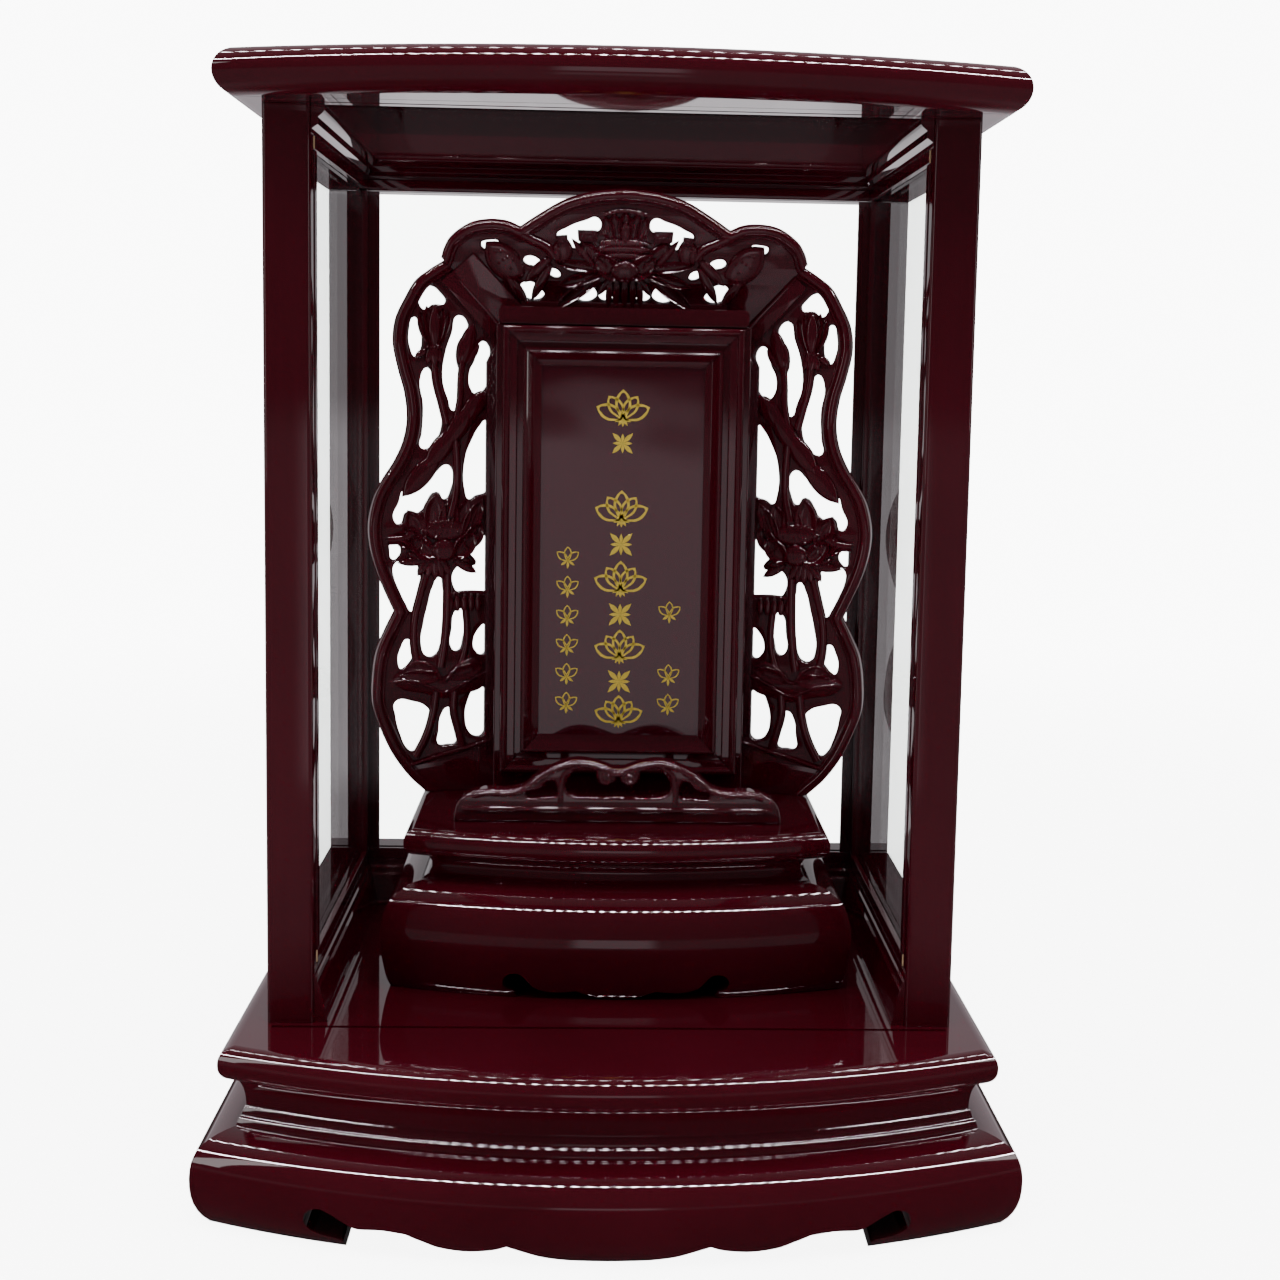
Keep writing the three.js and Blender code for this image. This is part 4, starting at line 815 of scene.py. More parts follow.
PLINTH_SCALLOPS = [
    [(0, 0.9), (10.6, 1.7), (18.5, 4.1), (22.4, 5.5)],
    [(22.4, 5.5), (26.4, 4.6), (34.3, 4.1), (40.9, 4.9), (46.2, 7)],
]
PLINTH_MOUTH = [
    (46.2, 7), (48.8, 9.9), (52.8, 13.9), (58.1, 14.5), (62, 11.6), (62.7, 7.5), (60, 4.6), (56.8, 3.5),
    (54.8, -0.2),
]


def set_over(*pieces):
    """Moves pieces of the tablet from the middle of the case to the tablet's own middle."""
    for piece in pieces:
        only(piece)
        bpy.ops.transform.translate(value=(TABLET_OFFSET * MM, 0, 0))
        settle(piece)


plinth_section = walled(PLINTH_SECTION, PLINTH_INNER)
plinth_front = bowed_length("plinth_apron_front_piece", plinth_section, *PLINTH_BOW)
plinth_edge = under_edge(PLINTH_SCALLOPS, PLINTH_MOUTH, PLINTH_LOW)
cut_out(plinth_front, plank(
    "plinth_scallop_cutter", [spot(x, 0, z) for x, z in plinth_edge],
    Vector((0, PLINTH_CUT_DEPTH * MM, 0)),
))
ease_edges(plinth_front, PLINTH_EDGE)
plinth_right = side_length("plinth_apron_right_piece", plinth_section, *PLINTH_BOW, PLINTH_REAR)
plinth_left = twin(plinth_right, "plinth_apron_left_piece")
plinth_board = bowed_board("plinth_board_piece", **PLINTH_BOARD)
set_over(plinth_front, plinth_right, plinth_left, plinth_board)
hand_over(plinth_front, ["plinth_apron_front"], "tablet", "lacquer", lacquer_across, APRON_ANGLE)
hand_over(plinth_right, ["plinth_apron_right"], "tablet", "lacquer", lacquer_deep, APRON_ANGLE)
hand_over(plinth_left, ["plinth_apron_left"], "tablet", "lacquer", lacquer_deep, APRON_ANGLE)
hand_over(plinth_board, ["plinth_board"], "tablet", "lacquer", lacquer_across)
dressed("plinth_apron_back", "tablet", "lacquer", lacquer_across)
dressed("plinth_waist", "tablet", "lacquer", lacquer_across, rounding=0.2)


# Scroll fence
# A little balustrade on the plinth board, fretsawn from 12 mm wood and rounded over. Its top is one
# long wave that dips over two hanging scrolls, with a round moulding under its edge and along its foot.
FENCE_HALF, FENCE_FRONT, FENCE_THICKNESS, FENCE_ROUNDING = 94.0, 92.0, 12.0, 1.6
FENCE_TOP = [
    (FENCE_HALF, 4, "corner"), (91.2, 12), (83.7, 17.2), (76.1, 19), (62, 19), (53.6, 21.5), (47, 27),
    (37.6, 32.5), (26.3, 36.5), (16, 36.1), (8.5, 33.9), (0, 31.4),
]
FENCE_MIDDLE = [
    (0, 15.3), (18.8, 15.3), (27.3, 16.4), (30.1, 20.1), (27.3, 27.7), (20.7, 32.1), (14.1, 31.8),
    (11.3, 24.1), (6.6, 22.6), (1.9, 24.1), (0, 27.7),
]
FENCE_SIDE = [(52.6, 16.1), (45.1, 19.3), (38.5, 24.5), (35.7, 21.2), (35.7, 16.4), (42.3, 15)]
SCROLL_EYE, SCROLL_REACH, SCROLL_CLOSING = (6.6, 26.4), 5.2, 0.5
SCROLL_START, SCROLL_STEP, SCROLL_PINS = 150, 50, 10
ROLL_DROP = 2.6
PILLAR = [(33, 11), (33, 16), (32.6, 22), (30.5, 28.5), (25, 32.6)]
FOOT_BEAD = [(-89, 7.6), (0, 7.6), (89, 7.6)]


def fretwork(name, lines, thickness, rounding):
    """A flat board sawn along closed lines, its holes too, with all its edges rounded over.

    A place marked as a corner stays sharp, and the line curves smoothly through the others.
    """
    drawing = bpy.data.curves.new(name, "CURVE")
    drawing.dimensions = "2D"
    drawing.fill_mode = "BOTH"
    for line in lines:
        spline = drawing.splines.new("BEZIER")
        spline.bezier_points.add(len(line) - 1)
        spline.use_cyclic_u = True
        for pin, place in zip(spline.bezier_points, line):
            pin.co = (place[0] * MM, place[1] * MM, 0)
            pin.handle_left_type = pin.handle_right_type = "VECTOR" if len(place) > 2 else "AUTO"
    drawing.resolution_u = 6
    drawing.extrude = (thickness / 2 - rounding) * MM
    drawing.bevel_depth = rounding * MM
    drawing.bevel_resolution = 3
    drawing.offset = -rounding * MM
    piece = bpy.data.objects.new(name, drawing)
    bpy.context.scene.collection.objects.link(piece)
    only(piece)
    bpy.ops.object.convert(target="MESH")
    piece = bpy.context.object
    bpy.ops.object.mode_set(mode="EDIT")
    bpy.ops.mesh.select_all(action="SELECT")
    bpy.ops.mesh.remove_doubles(threshold=DOUBLE)
    bpy.ops.transform.translate(value=(0, 0, -thickness / 2 * MM))
    bpy.ops.object.mode_set(mode="OBJECT")
    return piece


def lay(piece, along, up, front, start):
    """Lays a flat piece in the case: its own directions become along, up and front."""
    turned = Matrix((along, up, front)).transposed().to_4x4()
    turned.translation = start
    piece.matrix_world = turned
    settle(piece)


def other_side(line):
    """The line's mirror image on the left, drawn the other way round."""
    return [(-place[0], *place[1:]) for place in reversed(line)]


def join(pieces):
    """Glues pieces into one object."""
    only(pieces[0])
    for piece in pieces[1:]:
        piece.select_set(True)
    bpy.ops.object.join()
    return pieces[0]


def vines(rows, width=1.0, lift=0.0):
    """Round stems: each row is a line of places, half the stem's breadth and the level of its middle."""
    made = []
    for line, thick, level in rows:
        drawing = bpy.data.curves.new("vine", "CURVE")
        drawing.dimensions = "3D"
        drawing.bevel_depth = thick * MM
        drawing.bevel_resolution = 3
        drawing.resolution_u = 5
        drawing.use_fill_caps = True
        spline = drawing.splines.new("BEZIER")
        spline.bezier_points.add(len(line) - 1)
        for pin, (x, y) in zip(spline.bezier_points, line):
            pin.co = (x * width * MM, (y + lift) * MM, level * MM)
            pin.handle_left_type = pin.handle_right_type = "AUTO"
        piece = bpy.data.objects.new("vine", drawing)
        bpy.context.scene.collection.objects.link(piece)
        only(piece)
        bpy.ops.object.convert(target="MESH")
        bpy.ops.object.mode_set(mode="EDIT")
        bpy.ops.mesh.select_all(action="SELECT")
        bpy.ops.mesh.remove_doubles(threshold=DOUBLE)
        bpy.ops.mesh.normals_make_consistent(inside=False)
        bpy.ops.object.mode_set(mode="OBJECT")
        made.append(bpy.context.object)
    return made


def scroll_pin(i):
    """A place on the scroll, which closes in as it turns."""
    reach, turn = SCROLL_REACH - SCROLL_CLOSING * i, radians(SCROLL_START - SCROLL_STEP * i)
    return SCROLL_EYE[0] + reach * cos(turn), SCROLL_EYE[1] + reach * sin(turn)


RIGHT, UP, FORWARD = Vector((1, 0, 0)), Vector((0, 0, 1)), Vector((0, -1, 0))
fence_line = [
    (FENCE_HALF, 0, "corner"), *FENCE_TOP, *other_side(FENCE_TOP)[1:], (-FENCE_HALF, 0, "corner"),
]
fence_middle = FENCE_MIDDLE + other_side(FENCE_MIDDLE)[1:-1]
fence = fretwork(
    "scroll_fence_piece", [fence_line, fence_middle, FENCE_SIDE, other_side(FENCE_SIDE)],
    FENCE_THICKNESS, FENCE_ROUNDING,
)
settle(fence)
scroll = [scroll_pin(i) for i in range(SCROLL_PINS)]
top_roll = [(x, y - ROLL_DROP) for x, y in FENCE_TOP[2:]]
fence_lines = [
    (scroll, 1.4, -0.3), (other_side(scroll), 1.4, -0.3),
    (PILLAR, 2.0, -1.0), (other_side(PILLAR), 2.0, -1.0),
    (top_roll[:-1] + other_side(top_roll), 1.8, -0.5), (FOOT_BEAD, 1.9, -0.5),
]
fence = join([fence, *vines(fence_lines)])
lay(fence, RIGHT, UP, FORWARD, spot(TABLET_OFFSET, FENCE_FRONT, PLINTH_TOP))
hand_over(fence, ["scroll_fence"], "tablet", "lacquer", lacquer_across, angle=40)


# Tablet case and cap
# A deep box for the written slips of the dead, closed in front by the tablet's face, with a
# round-edged cap board on top.
dressed("tablet_case", "tablet", "lacquer", lacquer_up, rounding=0.8)
dressed("tablet_cap", "tablet", "lacquer", lacquer_across, rounding=0.4)


# Pierced wings and crest
# Three boards fretsawn and carved with lotus: a wing at each side, flared forward, and a crest that
# leans forward between them, mitred to the wings. A rolled rim runs round the outside.
FLARE = radians(15)
CARVED_BACK, GROUND = -9.0, -3.0
WING_WIDTH, WING_HEIGHT, WING_FOOT = 77.8, 321.0, 87.3
CREST_HALF, CREST_HEIGHT = 110.0, 80.0
HINGE_ACROSS = 75.0
HINGE = spot(HINGE_ACROSS, 177.2, 373)
MITRE_ACROSS, MITRE_UP = 32.0, 35.0
BESIDE_CASE, CAP_TOP = 75.3, 382.3
CAP_CUT_LOW, CAP_CUT_FRONT, CAP_CUT_DEPTH = 300.0, 100.0, 120.0
WING_UPPER = [
    (0.3, 1.02), (0.44, 1), (0.54, 0.984), (0.64, 0.964), (0.72, 0.931), (0.79, 0.894), (0.81, 0.85),
    (0.77, 0.801), (0.72, 0.757), (0.7, 0.71), (0.73, 0.667), (0.8, 0.629), (0.89, 0.595), (0.96, 0.561),
    (1, 0.514), (0.99, 0.47), (0.94, 0.424), (0.87, 0.383), (0.8, 0.346),
]
WING_LOWER = [
    (0.8, 0.346), (0.87, 0.312), (0.94, 0.271), (0.97, 0.221), (0.97, 0.171), (0.91, 0.125), (0.81, 0.072),
    (0.69, 0.031), (0.56, 0), (0.4, -0.04),
]
WING_OPENINGS = [
    [(0.41, 0.925), (0.45, 0.944), (0.52, 0.955), (0.59, 0.949), (0.62, 0.928), (0.57, 0.911), (0.51, 0.921)],
    [(0.23, 0.885), (0.31, 0.902), (0.36, 0.869), (0.41, 0.832), (0.43, 0.782), (0.39, 0.748), (0.34, 0.724),
     (0.29, 0.741), (0.28, 0.785), (0.32, 0.822), (0.29, 0.854)],
    [(0.07, 0.804), (0.08, 0.852), (0.13, 0.854), (0.18, 0.819), (0.22, 0.798), (0.21, 0.766), (0.17, 0.757),
     (0.08, 0.773)],
    [(0.59, 0.857), (0.61, 0.885), (0.65, 0.897), (0.69, 0.875), (0.68, 0.838), (0.64, 0.824), (0.6, 0.838)],
    [(0.51, 0.794), (0.55, 0.804), (0.6, 0.788), (0.58, 0.732), (0.59, 0.682), (0.6, 0.656), (0.55, 0.653),
     (0.47, 0.671), (0.43, 0.707), (0.45, 0.748)],
    [(0.08, 0.573), (0.07, 0.657), (0.09, 0.707), (0.13, 0.699), (0.2, 0.67), (0.25, 0.636), (0.25, 0.573),
     (0.22, 0.558), (0.16, 0.565)],
    [(0.35, 0.614), (0.4, 0.623), (0.47, 0.611), (0.56, 0.587), (0.64, 0.579), (0.72, 0.579), (0.77, 0.551),
     (0.81, 0.523), (0.76, 0.511), (0.71, 0.533), (0.61, 0.533), (0.47, 0.572), (0.41, 0.558), (0.36, 0.576)],
    [(0.08, 0.483), (0.12, 0.494), (0.21, 0.46), (0.16, 0.435), (0.23, 0.431), (0.32, 0.427), (0.33, 0.389),
     (0.27, 0.379), (0.11, 0.375)],
    [(0.75, 0.464), (0.82, 0.483), (0.84, 0.464), (0.81, 0.444), (0.77, 0.449)],
    [(0.59, 0.402), (0.65, 0.439), (0.72, 0.438), (0.79, 0.439), (0.79, 0.399), (0.72, 0.364), (0.65, 0.344),
     (0.6, 0.364)],
    [(0.25, 0.327), (0.28, 0.35), (0.32, 0.346), (0.35, 0.312), (0.35, 0.274), (0.3, 0.268), (0.26, 0.29)],
    [(0.42, 0.389), (0.45, 0.41), (0.5, 0.393), (0.54, 0.358), (0.57, 0.327), (0.59, 0.28), (0.55, 0.26),
     (0.49, 0.259), (0.43, 0.287), (0.4, 0.327)],
    [(0.08, 0.277), (0.09, 0.318), (0.13, 0.312), (0.18, 0.283), (0.16, 0.268), (0.1, 0.26)],
    [(0.66, 0.28), (0.7, 0.293), (0.75, 0.277), (0.77, 0.246), (0.74, 0.235), (0.69, 0.245), (0.65, 0.262)],
    [(0.08, 0.128), (0.09, 0.195), (0.16, 0.195), (0.22, 0.171), (0.24, 0.14), (0.21, 0.112), (0.15, 0.101),
     (0.1, 0.104)],
    [(0.32, 0.115), (0.34, 0.153), (0.38, 0.16), (0.43, 0.146), (0.45, 0.115), (0.45, 0.089), (0.37, 0.087),
     (0.31, 0.09)],
    [(0.51, 0.146), (0.56, 0.164), (0.65, 0.173), (0.79, 0.174), (0.79, 0.146), (0.75, 0.109), (0.7, 0.084),
     (0.65, 0.076), (0.59, 0.093), (0.54, 0.115)],
]
CREST_SHOULDER = [
    (1.1, 0.2), (1.05, 0.38), (1, 0.47), (0.98, 0.55), (0.95, 0.62), (0.89, 0.69), (0.82, 0.74), (0.73, 0.76),
    (0.64, 0.75), (0.57, 0.71),
]
CREST_ARCH = [(0.57, 0.71), (0.45, 0.82), (0.32, 0.92), (0.16, 0.98), (0, 1)]
CREST_OPENINGS = [
    [(0.37, 0.65), (0.31, 0.72), (0.22, 0.77), (0.15, 0.79), (0.14, 0.7), (0.24, 0.68), (0.25, 0.59),
     (0.28, 0.56), (0.31, 0.62)],
    [(0.78, 0.58), (0.74, 0.61), (0.68, 0.59), (0.73, 0.53)],
    [(0.55, 0.47), (0.52, 0.5), (0.45, 0.44), (0.45, 0.41), (0.49, 0.42), (0.54, 0.44)],
    [(0.42, 0.39), (0.4, 0.41), (0.35, 0.36), (0.36, 0.34), (0.4, 0.35)],
    [(0.57, 0.26), (0.55, 0.3), (0.5, 0.3), (0.45, 0.24), (0.44, 0.2), (0.55, 0.19)],
    [(0.26, 0.19), (0.25, 0.24), (0.2, 0.28), (0.16, 0.25), (0.16, 0.19)],
    [(0.14, 0.2), (0.11, 0.25), (0.08, 0.25), (0.06, 0.21), (0.07, 0.18)],
]
ROLL_BREADTH, ROLL_HEIGHT = 3.0, 2.4
ROLL_TURNS = [radians(18 * i) for i in range(10)]
ROLL_STEPS = [
    (ROLL_BREADTH * (cos(a) - cos(b)), ROLL_HEIGHT * (sin(b) - sin(a)))
    for a, b in zip(ROLL_TURNS, ROLL_TURNS[1:])
]
BEAD_STEPS = [
    (0.15, 0), (0.15, 0.35), (0.3, 0.25), (0.3, 0), (0.3, -0.25), (0.15, -0.35), (0.5, -0.5), (0.2, -1.4),
]
RIM_STEPS = ROLL_STEPS + BEAD_STEPS
RIM_START = -2.0
STRIP_BELOW, STRIP_ABOVE = 3, 41
WING_RIB_HALF, WING_RIDGE_HALF, CREST_RIB_HALF = 10, 2.2, 17
WING_SET_BACK, CREST_SET_BACK = (2.5, 1.5), (2.5, 2.0)
SEED_RADIUS, DROP_RADIUS, SEED_FLATNESS = 1.0, 1.1, 0.7
RELIEF_ROOT, FRET_ROUNDING, MOST_SMALL_SIDES = 2.0, 1.2, 8
PETAL_LENGTH, PETAL_BREADTH, PETAL_RISE = 20.0, 6.5, 3.0
PETAL_HALF = [(0, 0), (3.2, 0.7), (5.6, 4.8), (6.5, 9.4), (5.6, 14), (3.2, 17.4), (0, 20)]

carved_lacquer = lacquer("carved_lacquer", "z", (0.036, 0.0012, 0.0042, 1), (0.056, 0.0019, 0.0069, 1))
stippled_lacquer = lacquer(
    "stippled_lacquer", "z", (0.032, 0.0011, 0.0042, 1), (0.05, 0.0017, 0.007, 1), gloss=0.08, punched=True,
)


def sized(line, width, height):
    """A line given in shares of a width and a height, at its real size."""
    return [(place[0] * width, place[1] * height, *place[2:]) for place in line]


def flat_face(name, outline, low, high):
    """A block over a flat outline, its top face selected."""
    places = [Vector((x, y, low)) * MM for x, y in outline]
    piece = begin(name, places[0])
    draw(places[0], places[1:] + places[:1])
    close_line()
    bpy.ops.mesh.edge_face_add()
    bpy.ops.mesh.extrude_region_move(TRANSFORM_OT_translate={"value": (0, 0, (high - low) * MM)})
    bpy.ops.mesh.select_all(action="SELECT")
    bpy.ops.mesh.normals_make_consistent(inside=False)
    select(piece, "FACE", lambda face: face.normal.z > SQUARE_ON)
    return piece


def step_in(steps):
    """Works the selected face inwards and up or down, one step of the moulding after the other."""
    for inward, rise in steps:
        bpy.ops.mesh.inset(thickness=inward * MM, depth=rise * MM, use_even_offset=True)


def rolled_rim(name, outline):
    """The moulded rim along an outline: a roll, a groove and a thin bead."""
    piece = flat_face(name, outline, CARVED_BACK, RIM_START)
    step_in(RIM_STEPS)
    inner = RIM_START + sum(rise for inward, rise in RIM_STEPS)
    bpy.ops.mesh.extrude_region_move(TRANSFORM_OT_translate={"value": (0, 0, (CARVED_BACK - inner) * MM)})
    select(piece, "FACE", lambda face: len(face.vertices) > MOST_SMALL_SIDES)
    bpy.ops.mesh.delete(type="ONLY_FACE")
    bpy.ops.mesh.select_mode(type="EDGE")
    bpy.ops.mesh.select_all(action="DESELECT")
    bpy.ops.mesh.select_non_manifold()
    bpy.ops.mesh.bridge_edge_loops()
    bpy.ops.mesh.select_all(action="SELECT")
    bpy.ops.mesh.normals_make_consistent(inside=False)
    bpy.ops.object.mode_set(mode="OBJECT")
    return piece


def raised(name, outline, high=0.0, edge=0.5):
    """A plain part left standing above the ground, its upper edge eased."""
    piece = flat_face(name, outline, GROUND - RELIEF_ROOT, high - edge)
    step_in([(edge * 0.3, edge * 0.7), (edge * 0.7, edge * 0.3)])
    bpy.ops.object.mode_set(mode="OBJECT")
    return piece


def petal_pattern(name, layers):
    """One petal as the carver cuts it: shares of its breadth and length, and its height, layer by layer."""
    right = eased(PETAL_HALF, 2)
    outline = right + [(-x, y) for x, y in reversed(right)][1:-1]
    piece = flat_face(name, outline, -RELIEF_ROOT, 0)
    broad, long, high = 1, 1, 0
    for new_broad, new_long, new_high in layers:
        bpy.ops.mesh.extrude_region_move(TRANSFORM_OT_translate={"value": (0, 0, (new_high - high) * MM)})
        bpy.ops.transform.resize(
            value=(new_broad / broad, new_long / long, 1),
            center_override=(0, PETAL_LENGTH * 0.5 * MM, 0),
        )
        broad, long, high = new_broad, new_long, new_high
    bpy.ops.mesh.merge(type="CENTER")
    bpy.ops.object.mode_set(mode="OBJECT")
    return piece


FULL, CUPPED = "full", "cupped"
patterns = {
    FULL: petal_pattern("full_petal_pattern", [
        (0.97, 0.98, 1.2), (0.87, 0.93, 2.1), (0.7, 0.85, 2.65), (0.45, 0.7, 2.92), (0.15, 0.5, PETAL_RISE),
    ]),
    CUPPED: petal_pattern("cupped_petal_pattern", [
        (0.98, 0.985, 1.7), (0.92, 0.965, 2.7), (0.85, 0.94, PETAL_RISE), (0.76, 0.91, 2.7),
        (0.58, 0.84, 1.7), (0.34, 0.74, 1.1), (0.14, 0.62, 1.0), (0.06, 0.5, 1.5),
    ]),
}


def petals(rows, width=1.0, lift=0.0):
    """Copies of the patterns. Each row is a kind, foot, tip, half breadth, rise and level, in millimetres."""
    made = []
    for kind, foot_x, foot_y, tip_x, tip_y, breadth, rise, level in rows:
        foot = Vector((foot_x * width, foot_y + lift, level)) * MM
        run = Vector((tip_x * width, tip_y + lift, level)) * MM - foot
        along = run.normalized()
        side = Vector((along.y, -along.x, 0))
        piece = copy_of(patterns[kind], "petal")
        laid = Matrix((
            side * breadth / PETAL_BREADTH, along * run.length / (PETAL_LENGTH * MM),
            Vector((0, 0, rise / PETAL_RISE)),
        )).transposed().to_4x4()
        laid.translation = foot
        piece.matrix_world = laid
        made.append(piece)
    return made


def beads_at(places, radius, level, width=1.0, lift=0.0):
    """Small round seeds or drops cut into the relief."""
    made = []
    for x, y in places:
        bpy.ops.object.select_all(action="DESELECT")
        bpy.ops.mesh.primitive_uv_sphere_add(
            segments=10, ring_count=6, radius=radius * MM,
            location=(x * width * MM, (y + lift) * MM, level * MM),
        )
        bpy.context.object.scale.z = SEED_FLATNESS
        made.append(bpy.context.object)
    return made


def beside_mitre(x, y, sign, breadth):
    """A strip that runs up along the mitre, from a little below the hinge to the rim.

    It lies on both sides of the mitre, by the breadth, and the sign tells which way round it is drawn.
    """
    run = Vector((MITRE_ACROSS, MITRE_UP)).normalized()
    out = Vector((run.y, -run.x)) * sign * breadth
    hinge = Vector((x, y))
    low, high = hinge - run * STRIP_BELOW, hinge + run * STRIP_ABOVE
    return [tuple(low + out), tuple(high + out), tuple(high - out), tuple(low - out)]


def other_side_rows(rows):
    """The petals' mirror images on the left."""
    return [(kind, -a, b, -c, *rest) for kind, a, b, c, *rest in rows]


wing_out = Vector((cos(FLARE), -sin(FLARE), 0))
wing_face = Vector((-sin(FLARE), -cos(FLARE), 0))
crest_up = Vector((0, -sin(FLARE), cos(FLARE)))
crest_face = Vector((0, -cos(FLARE), -sin(FLARE)))
mitre_run = Vector((MITRE_ACROSS, -tan(FLARE) * (MITRE_ACROSS + MITRE_UP) / 2, MITRE_UP))
above_wing = (wing_face + crest_face).cross(mitre_run).normalized()
if above_wing.z < 0:
    above_wing.negate()


def set_up(parts, stippled, along, up, front, start, cuts):
    """Sands the carved parts of one board into each other, lays them in place and saws the mitres."""
    for part in parts + stippled:
        settle(part)
        part.data.materials.clear()
        part.data.materials.append(stippled_lacquer if part in stippled else carved_lacquer)
        lay(part, along, up, front, start)
        for place, direction in cuts:
            trim(part, place, direction)
    return join(parts + stippled)


# The wing's lotus, tulip bud, small bud, pod and leaves, measured on the photograph as distances
# from the tablet's side and heights above the base board
WING_PETALS = [
    (CUPPED, 33, 244, 30, 266, 7, 2.4, -3), (CUPPED, 27, 244, 19, 267, 6, 2.5, -3),
    (CUPPED, 41, 243, 39.5, 271, 7.5, 2.9, -3), (CUPPED, 22, 242, 9.5, 267, 5.5, 2.7, -3),
    (CUPPED, 48, 242, 57.5, 260, 6.5, 2.8, -3), (CUPPED, 52, 238, 66, 246, 5.5, 2.5, -3),
    (CUPPED, 20, 237, 10, 252, 6, 3, -2.6), (CUPPED, 50, 236, 60, 251, 6, 3, -2.6),
    (FULL, 20, 248, 50, 248, 7, 2.4, -2.6),
    (CUPPED, 41, 231, 56, 244, 6.5, 3.2, -1.8), (CUPPED, 28, 231, 14, 246, 6.5, 3.2, -1.8),
    (FULL, 34.5, 229, 34.5, 243, 8, 3.2, -1.2),
    (FULL, 42, 230, 64, 228, 3, 2.4, -3), (FULL, 44, 231, 59, 234, 2.6, 2.8, -3),
    (FULL, 28, 230, 13, 221.5, 3, 2.4, -3), (FULL, 26, 231, 16, 229, 2.4, 2.8, -3),
    (FULL, 37, 232, 30, 219, 2.8, 2.6, -3), (FULL, 38.5, 232, 35, 217.5, 2.8, 2.8, -3),
    (FULL, 40, 232, 40, 217, 2.8, 3, -3), (FULL, 41.5, 232, 45.5, 218, 2.8, 2.8, -3),
    (FULL, 43, 232, 51, 220, 2.8, 2.6, -3),
    (CUPPED, 40, 358, 31.5, 379, 4.2, 2.4, -3), (CUPPED, 42, 358, 50.5, 379, 4.2, 2.4, -3),
    (CUPPED, 41, 358, 36, 382, 4, 2.8, -2.8), (CUPPED, 41, 358, 46, 382, 4, 2.8, -2.8),
    (FULL, 41, 357, 41, 383, 4, 3, -2.6), (FULL, 41, 360, 36, 347, 3, 2.6, -3),
    (FULL, 41, 360, 46, 347, 3, 2.6, -3), (FULL, 41, 361, 41, 345, 3.4, 3, -3),
    (FULL, 46, 356, 53, 351, 2.2, 2.4, -3),
    (FULL, 23.5, 347, 16, 373, 4.6, 2.8, -3), (FULL, 25, 347, 23.5, 364, 2.6, 2.4, -3),
    (FULL, 21, 347, 12, 360, 2.4, 2.4, -3),
    (FULL, 12, 198, 12, 209, 2.4, 2.6, -3), (FULL, 16.5, 198, 16.5, 209, 2.4, 2.8, -3),
    (FULL, 21, 198, 21, 209, 2.4, 2.8, -3), (FULL, 25.5, 198, 25.5, 209, 2.4, 2.8, -3),
    (FULL, 30, 198, 30, 208, 2.2, 2.6, -3),
    (CUPPED, 31, 158, 9, 164, 5, 1.6, -1.4), (CUPPED, 37, 158, 64, 159, 5, 1.6, -1.4),
    (FULL, 8, 331, 24, 312, 6, 2.8, -3), (FULL, 17, 322, 34, 298, 6.2, 2.9, -3),
    (FULL, 27, 309, 47, 284, 6.2, 2.9, -3), (FULL, 38, 293, 61, 268, 6.4, 2.6, -3),
]
WING_VINES = [
    ([(41, 350), (40, 338), (36.5, 325), (33, 312)], 2.5, -2.6),
    ([(23, 350), (24, 338), (24.5, 326), (27, 314)], 2.3, -2.6),
    ([(27, 302), (26, 286), (26.5, 271), (30, 256)], 2.9, -2.8),
    ([(32, 221), (32, 205), (32.5, 190), (34, 176), (36, 164)], 2.9, -2.8),
    ([(46, 221), (49.5, 208), (52.5, 196), (53.5, 182), (52, 170), (49, 161)], 2.7, -2.8),
    ([(20, 199), (19, 186), (20, 175), (23, 165)], 2.3, -2.8),
    ([(27, 149), (27.5, 137), (24.5, 125), (21, 112)], 2.8, -2.8),
    ([(39, 149), (41, 135), (45, 122), (52, 109)], 2.8, -2.8),
    ([(7, 209.5), (20, 210), (33, 208.5)], 1.1, -1.2),
    ([(7, 160), (15, 157), (25, 151.5), (34, 148.5), (43, 152), (54, 156), (66, 156)], 1.1, -0.9),
    ([(10, 166), (18, 168), (26, 163.5), (34, 156.5), (41, 164), (51, 167.5), (62, 162)], 1.1, -0.9),
    ([(6, 206), (20, 206.5), (33, 205.5)], 2.6, -5.4),
    ([(3, 118), (20, 113.5), (38, 109), (56, 104)], 1.1, -0.5),
    ([(54, 246), (60, 243), (70, 242)], 3.2, -3),
]
WING_SEEDS = [
    *((26 + 3.6 * i, 246.5 + 3.2 * (i % 2)) for i in range(6)),
    *((29 + 4 * i, 252.5) for i in range(4)),
]
BUD_DROPS = [(36.5 + 2.25 * i, 357.5) for i in range(5)]
WING_LEAF = [
    (6, 155), (9, 164), (17, 169), (26, 165), (34, 157.5), (41, 165), (51, 168.5), (61, 163), (67, 157),
    (60, 150.5), (47, 148), (34, 144.5), (21, 147), (11, 149.5),
]
WING_BORDER = [(-6, -20), (28, -20), (36, 0), (45, 6.5), (51, 16), (5, 27.5), (-6, 28.5)]
WING_STRIP = [(-6, 20), (7, 20), (7, 262), (-6, 290)]
MEASURED_WIDTH = 82.0
on_wing = (WING_WIDTH / MEASURED_WIDTH, -WING_FOOT)

